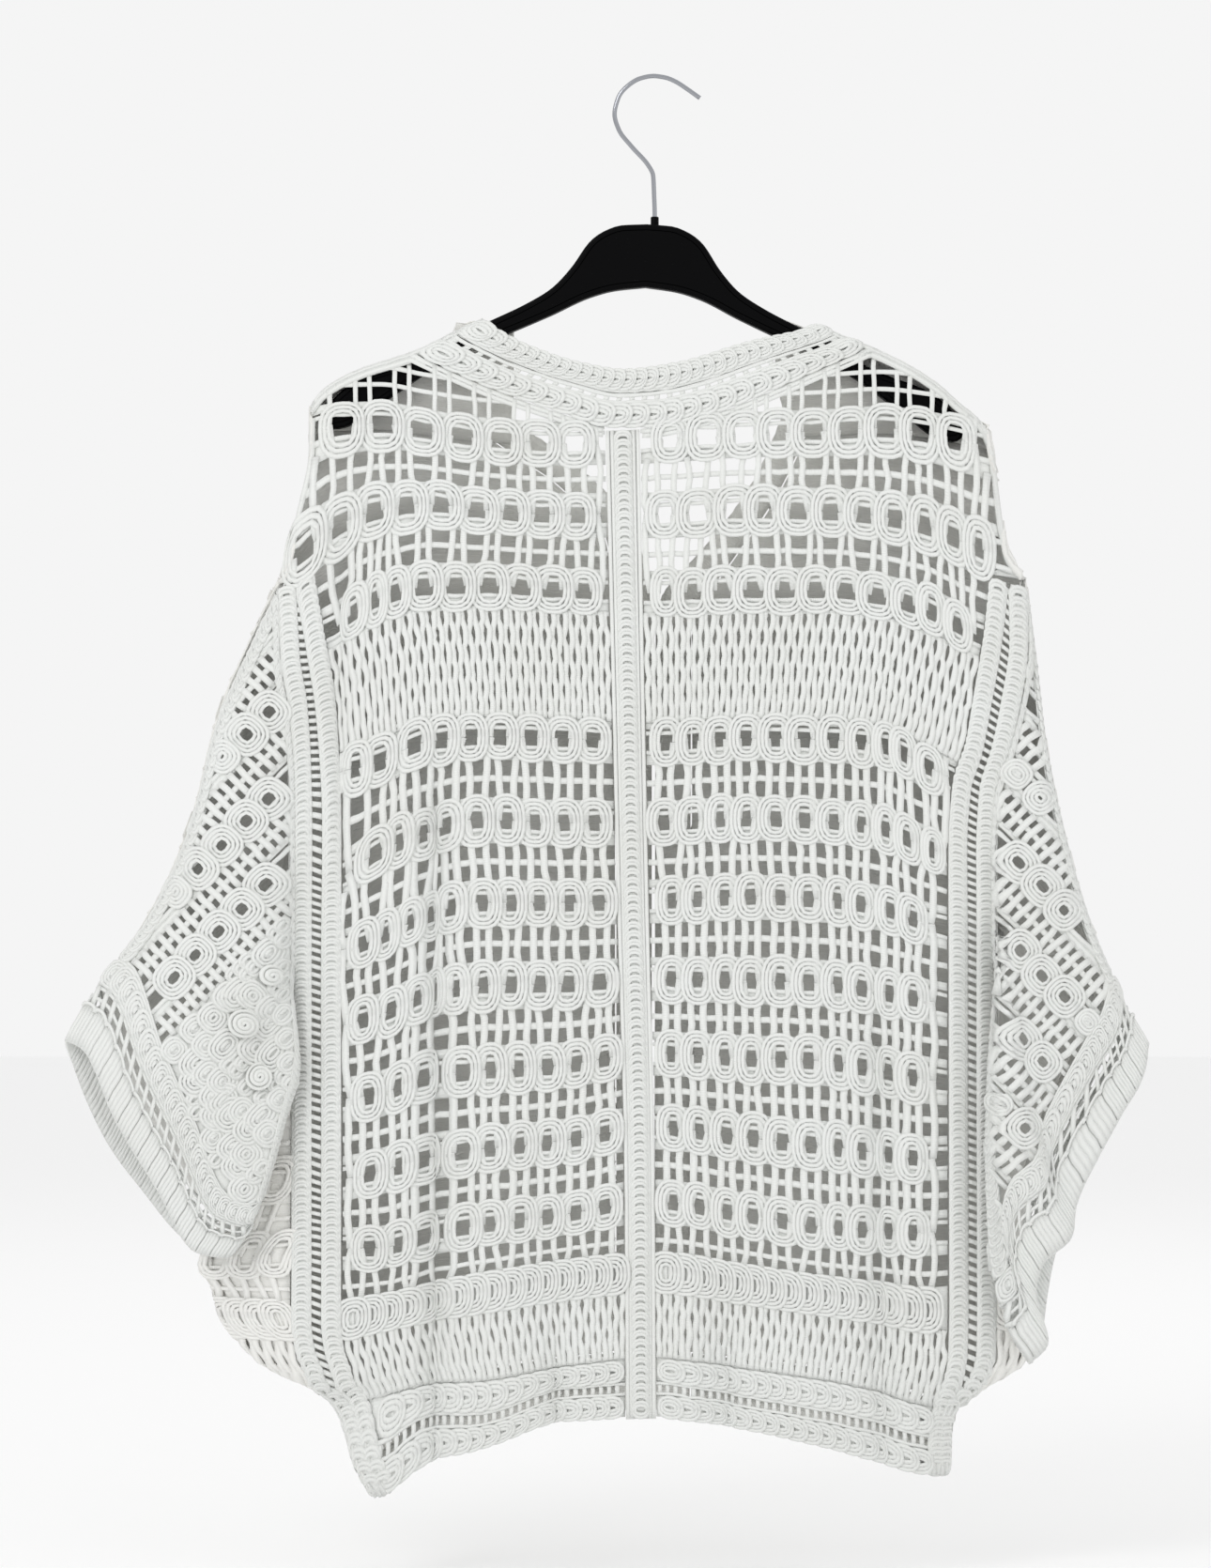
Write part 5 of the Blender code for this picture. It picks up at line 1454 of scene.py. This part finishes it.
def hangerMoulding():
    # a smooth outline given its thickness, with rounded edges and a fine groove inside the rim
    right = np.concatenate([evenly(hangerTop, 4.0), evenly(hangerUnderside, 4.0)])
    left = right[::-1] * (-1, 1)
    across, up = np.concatenate([right, left[left[:, 0] < 0]]).T
    cos, sin, half = math.cos(hanger["tilt"]), math.sin(hanger["tilt"]), hanger["thick"] / 2
    x = hanger["middle"] + across * cos + (up - hanger["pivot"]) * sin
    z = up * cos - across * sin
    body = bmesh.new()
    face = body.faces.new([body.verts.new((px * mm, -half * mm, pz * mm)) for px, pz in zip(x, z)])
    pushed = bmesh.ops.extrude_face_region(body, geom=[face], use_keep_orig=True)
    for item in pushed["geom"]:
        if isinstance(item, bmesh.types.BMVert):
            item.co.y = half * mm
    bmesh.ops.recalc_face_normals(body, faces=body.faces[:])

    def onRim(edge):
        first, second = (corner.co.y for corner in edge.verts)
        return edge.calc_face_angle(0) > math.radians(70) and abs(first - second) < mm

    bmesh.ops.bevel(
        body, geom=[edge for edge in body.edges if onRim(edge)], offset=hanger["rounding"] * mm,
        offset_type="OFFSET", affect="EDGES", segments=4, profile=0.5, clamp_overlap=False, material=-1,
    )
    faces = sorted(body.faces, key=lambda face: face.calc_area())[-2:]
    for thickness, depth in ((hanger["rim"], 0), (hanger["groove"], -0.6), (hanger["groove"], 0.6)):
        sizes = {"thickness": thickness * mm, "depth": depth * mm}
        bmesh.ops.inset_region(body, faces=faces, use_even_offset=True, **sizes)
    bmesh.ops.triangulate(body, faces=faces, ngon_method="EAR_CLIP")
    radius, top = hanger["bossRadius"] * mm, hanger["bossTop"] * mm
    boss = bmesh.ops.create_cone(
        body, cap_ends=True, segments=24, radius1=radius, radius2=radius, depth=hanger["bossDepth"] * mm,
        matrix=Matrix.Translation((hookRoute[0][0] * mm, 0, top - hanger["bossDepth"] / 2 * mm)),
    )
    onTop = {corner for corner in boss["verts"] if corner.co.z > top - 1e-5}
    brim = [edge for edge in body.edges if onTop.issuperset(edge.verts)]
    bmesh.ops.bevel(
        body, geom=brim, offset=hanger["brim"] * mm, affect="EDGES", segments=3, profile=0.5,
        clamp_overlap=True, material=-1,
    )
    shape = bpy.data.meshes.new("hangerMoulding")
    body.to_mesh(shape)
    body.free()
    # moulded plastic with a satin skin, which keeps the hanger nearly black under the lamps
    material, shader = newMaterial("blackMouldedPlastic", "#020203", 0.46)
    shader.inputs["Specular IOR Level"].default_value = 0.06
    made = placePiece("hangerMoulding", shape, material)
    shape.set_sharp_from_angle(angle=math.radians(35))
    standFor(made, "hanger_body")


def wireHook():
    route = evenly(hookRoute, 2.0)
    wire = newLace(False)
    layAlong(wire, route[:, 0], route[:, 1], 0, hanger["wire"], hanger["wire"], sides=12)
    # drawn steel wire with bright chrome, which mirrors the pale room in long streaks
    material, _ = newMaterial("chromedSteelWire", "#9FA1A6", 0.16, 1.0)
    made = drape(wire, lambda a, b: np.stack([a, 0 * a, b], axis=-1), -1, material, "wireHook", gap=20)
    standFor(made, "hanger_hook")


# Making everything
hangerMoulding()
wireHook()
# one cord for the back's pieces, and one painted paler against shade for the fronts', seen between the back's
# cords
cordWhite = cottonCord("combedCottonCord", "#EAECEA", "#E1E2DE")
cordPaintedPaler = cottonCord("combedCottonCordPaintedPaler", "#F1F1EE", "#E8E7E2")
print("hanger and materials made")
for side in (-1, 1):
    backHalf(side)
centreStrip()
neckBand()
for side in (-1, 1):
    sideStrip(side)
    hemBand(side, False)
    frontHalf(side)
    frontBand(side)
    hemBand(side, True)
    sleeveHalf(side, False)
    sleeveHalf(side, True)
    cuffLace(side)

# Floor, light and camera
floorSettings = {"height": -0.96, "size": 8.0}
floorMesh = bmesh.new()
bmesh.ops.create_grid(floorMesh, x_segments=1, y_segments=1, size=floorSettings["size"])
floorShape = bpy.data.meshes.new("paleFloor")
floorMesh.to_mesh(floorShape)
floorMesh.free()
floorShape.materials.append(newMaterial("palePaper", "#FAFAFA", 0.9)[0])
floor = addObject("paleFloor", floorShape)
floor.location.z = floorSettings["height"]

bpy.context.scene.view_settings.view_transform = "Standard"
world = bpy.data.worlds.new("studio")
bpy.context.scene.world = world
world.use_nodes = True
world.node_tree.nodes["Background"].inputs["Color"].default_value = linearOf("#F5F5F5")
world.node_tree.nodes["Background"].inputs["Strength"].default_value = 1.0

lampSettings = {
    "key": {"place": (-1.6, -2.6, 1.2), "size": 1.2, "power": 20},
    "fill": {"place": (2.2, -2.4, 0.2), "size": 2.0, "power": 3},
    "rim": {"place": (0.5, 2.5, 1.5), "size": 2.0, "power": 6},
}
lampsPoint = (0, 0, -0.45)
for name, lamp in lampSettings.items():
    light = bpy.data.lights.new(name, "AREA")
    light.size = lamp["size"]
    light.energy = lamp["power"]
    made = addObject(name, light)
    made.location = lamp["place"]
    way = np.array(lampsPoint) - np.array(lamp["place"])
    down = math.acos(-way[2] / np.linalg.norm(way))
    made.rotation_euler = (down, 0, math.atan2(way[1], way[0]) - math.pi / 2)

# a long lens straight in front of the garment's back, as in the photo
cameraSettings = {"x": -0.0306, "y": -4.22, "z": -0.453, "distance": 4.2, "tall": 1.002, "film": 36}
lens = bpy.data.cameras.new("camera")
lens.sensor_fit = "VERTICAL"
lens.sensor_height = cameraSettings["film"]
lens.lens = cameraSettings["film"] * cameraSettings["distance"] / cameraSettings["tall"]
lens.clip_end = 50
camera = addObject("camera", lens)
camera.location = [cameraSettings[way] for way in "xyz"]
camera.rotation_euler = (math.pi / 2, 0, 0)
bpy.context.scene.camera = camera

print("floor, lamps and camera set")
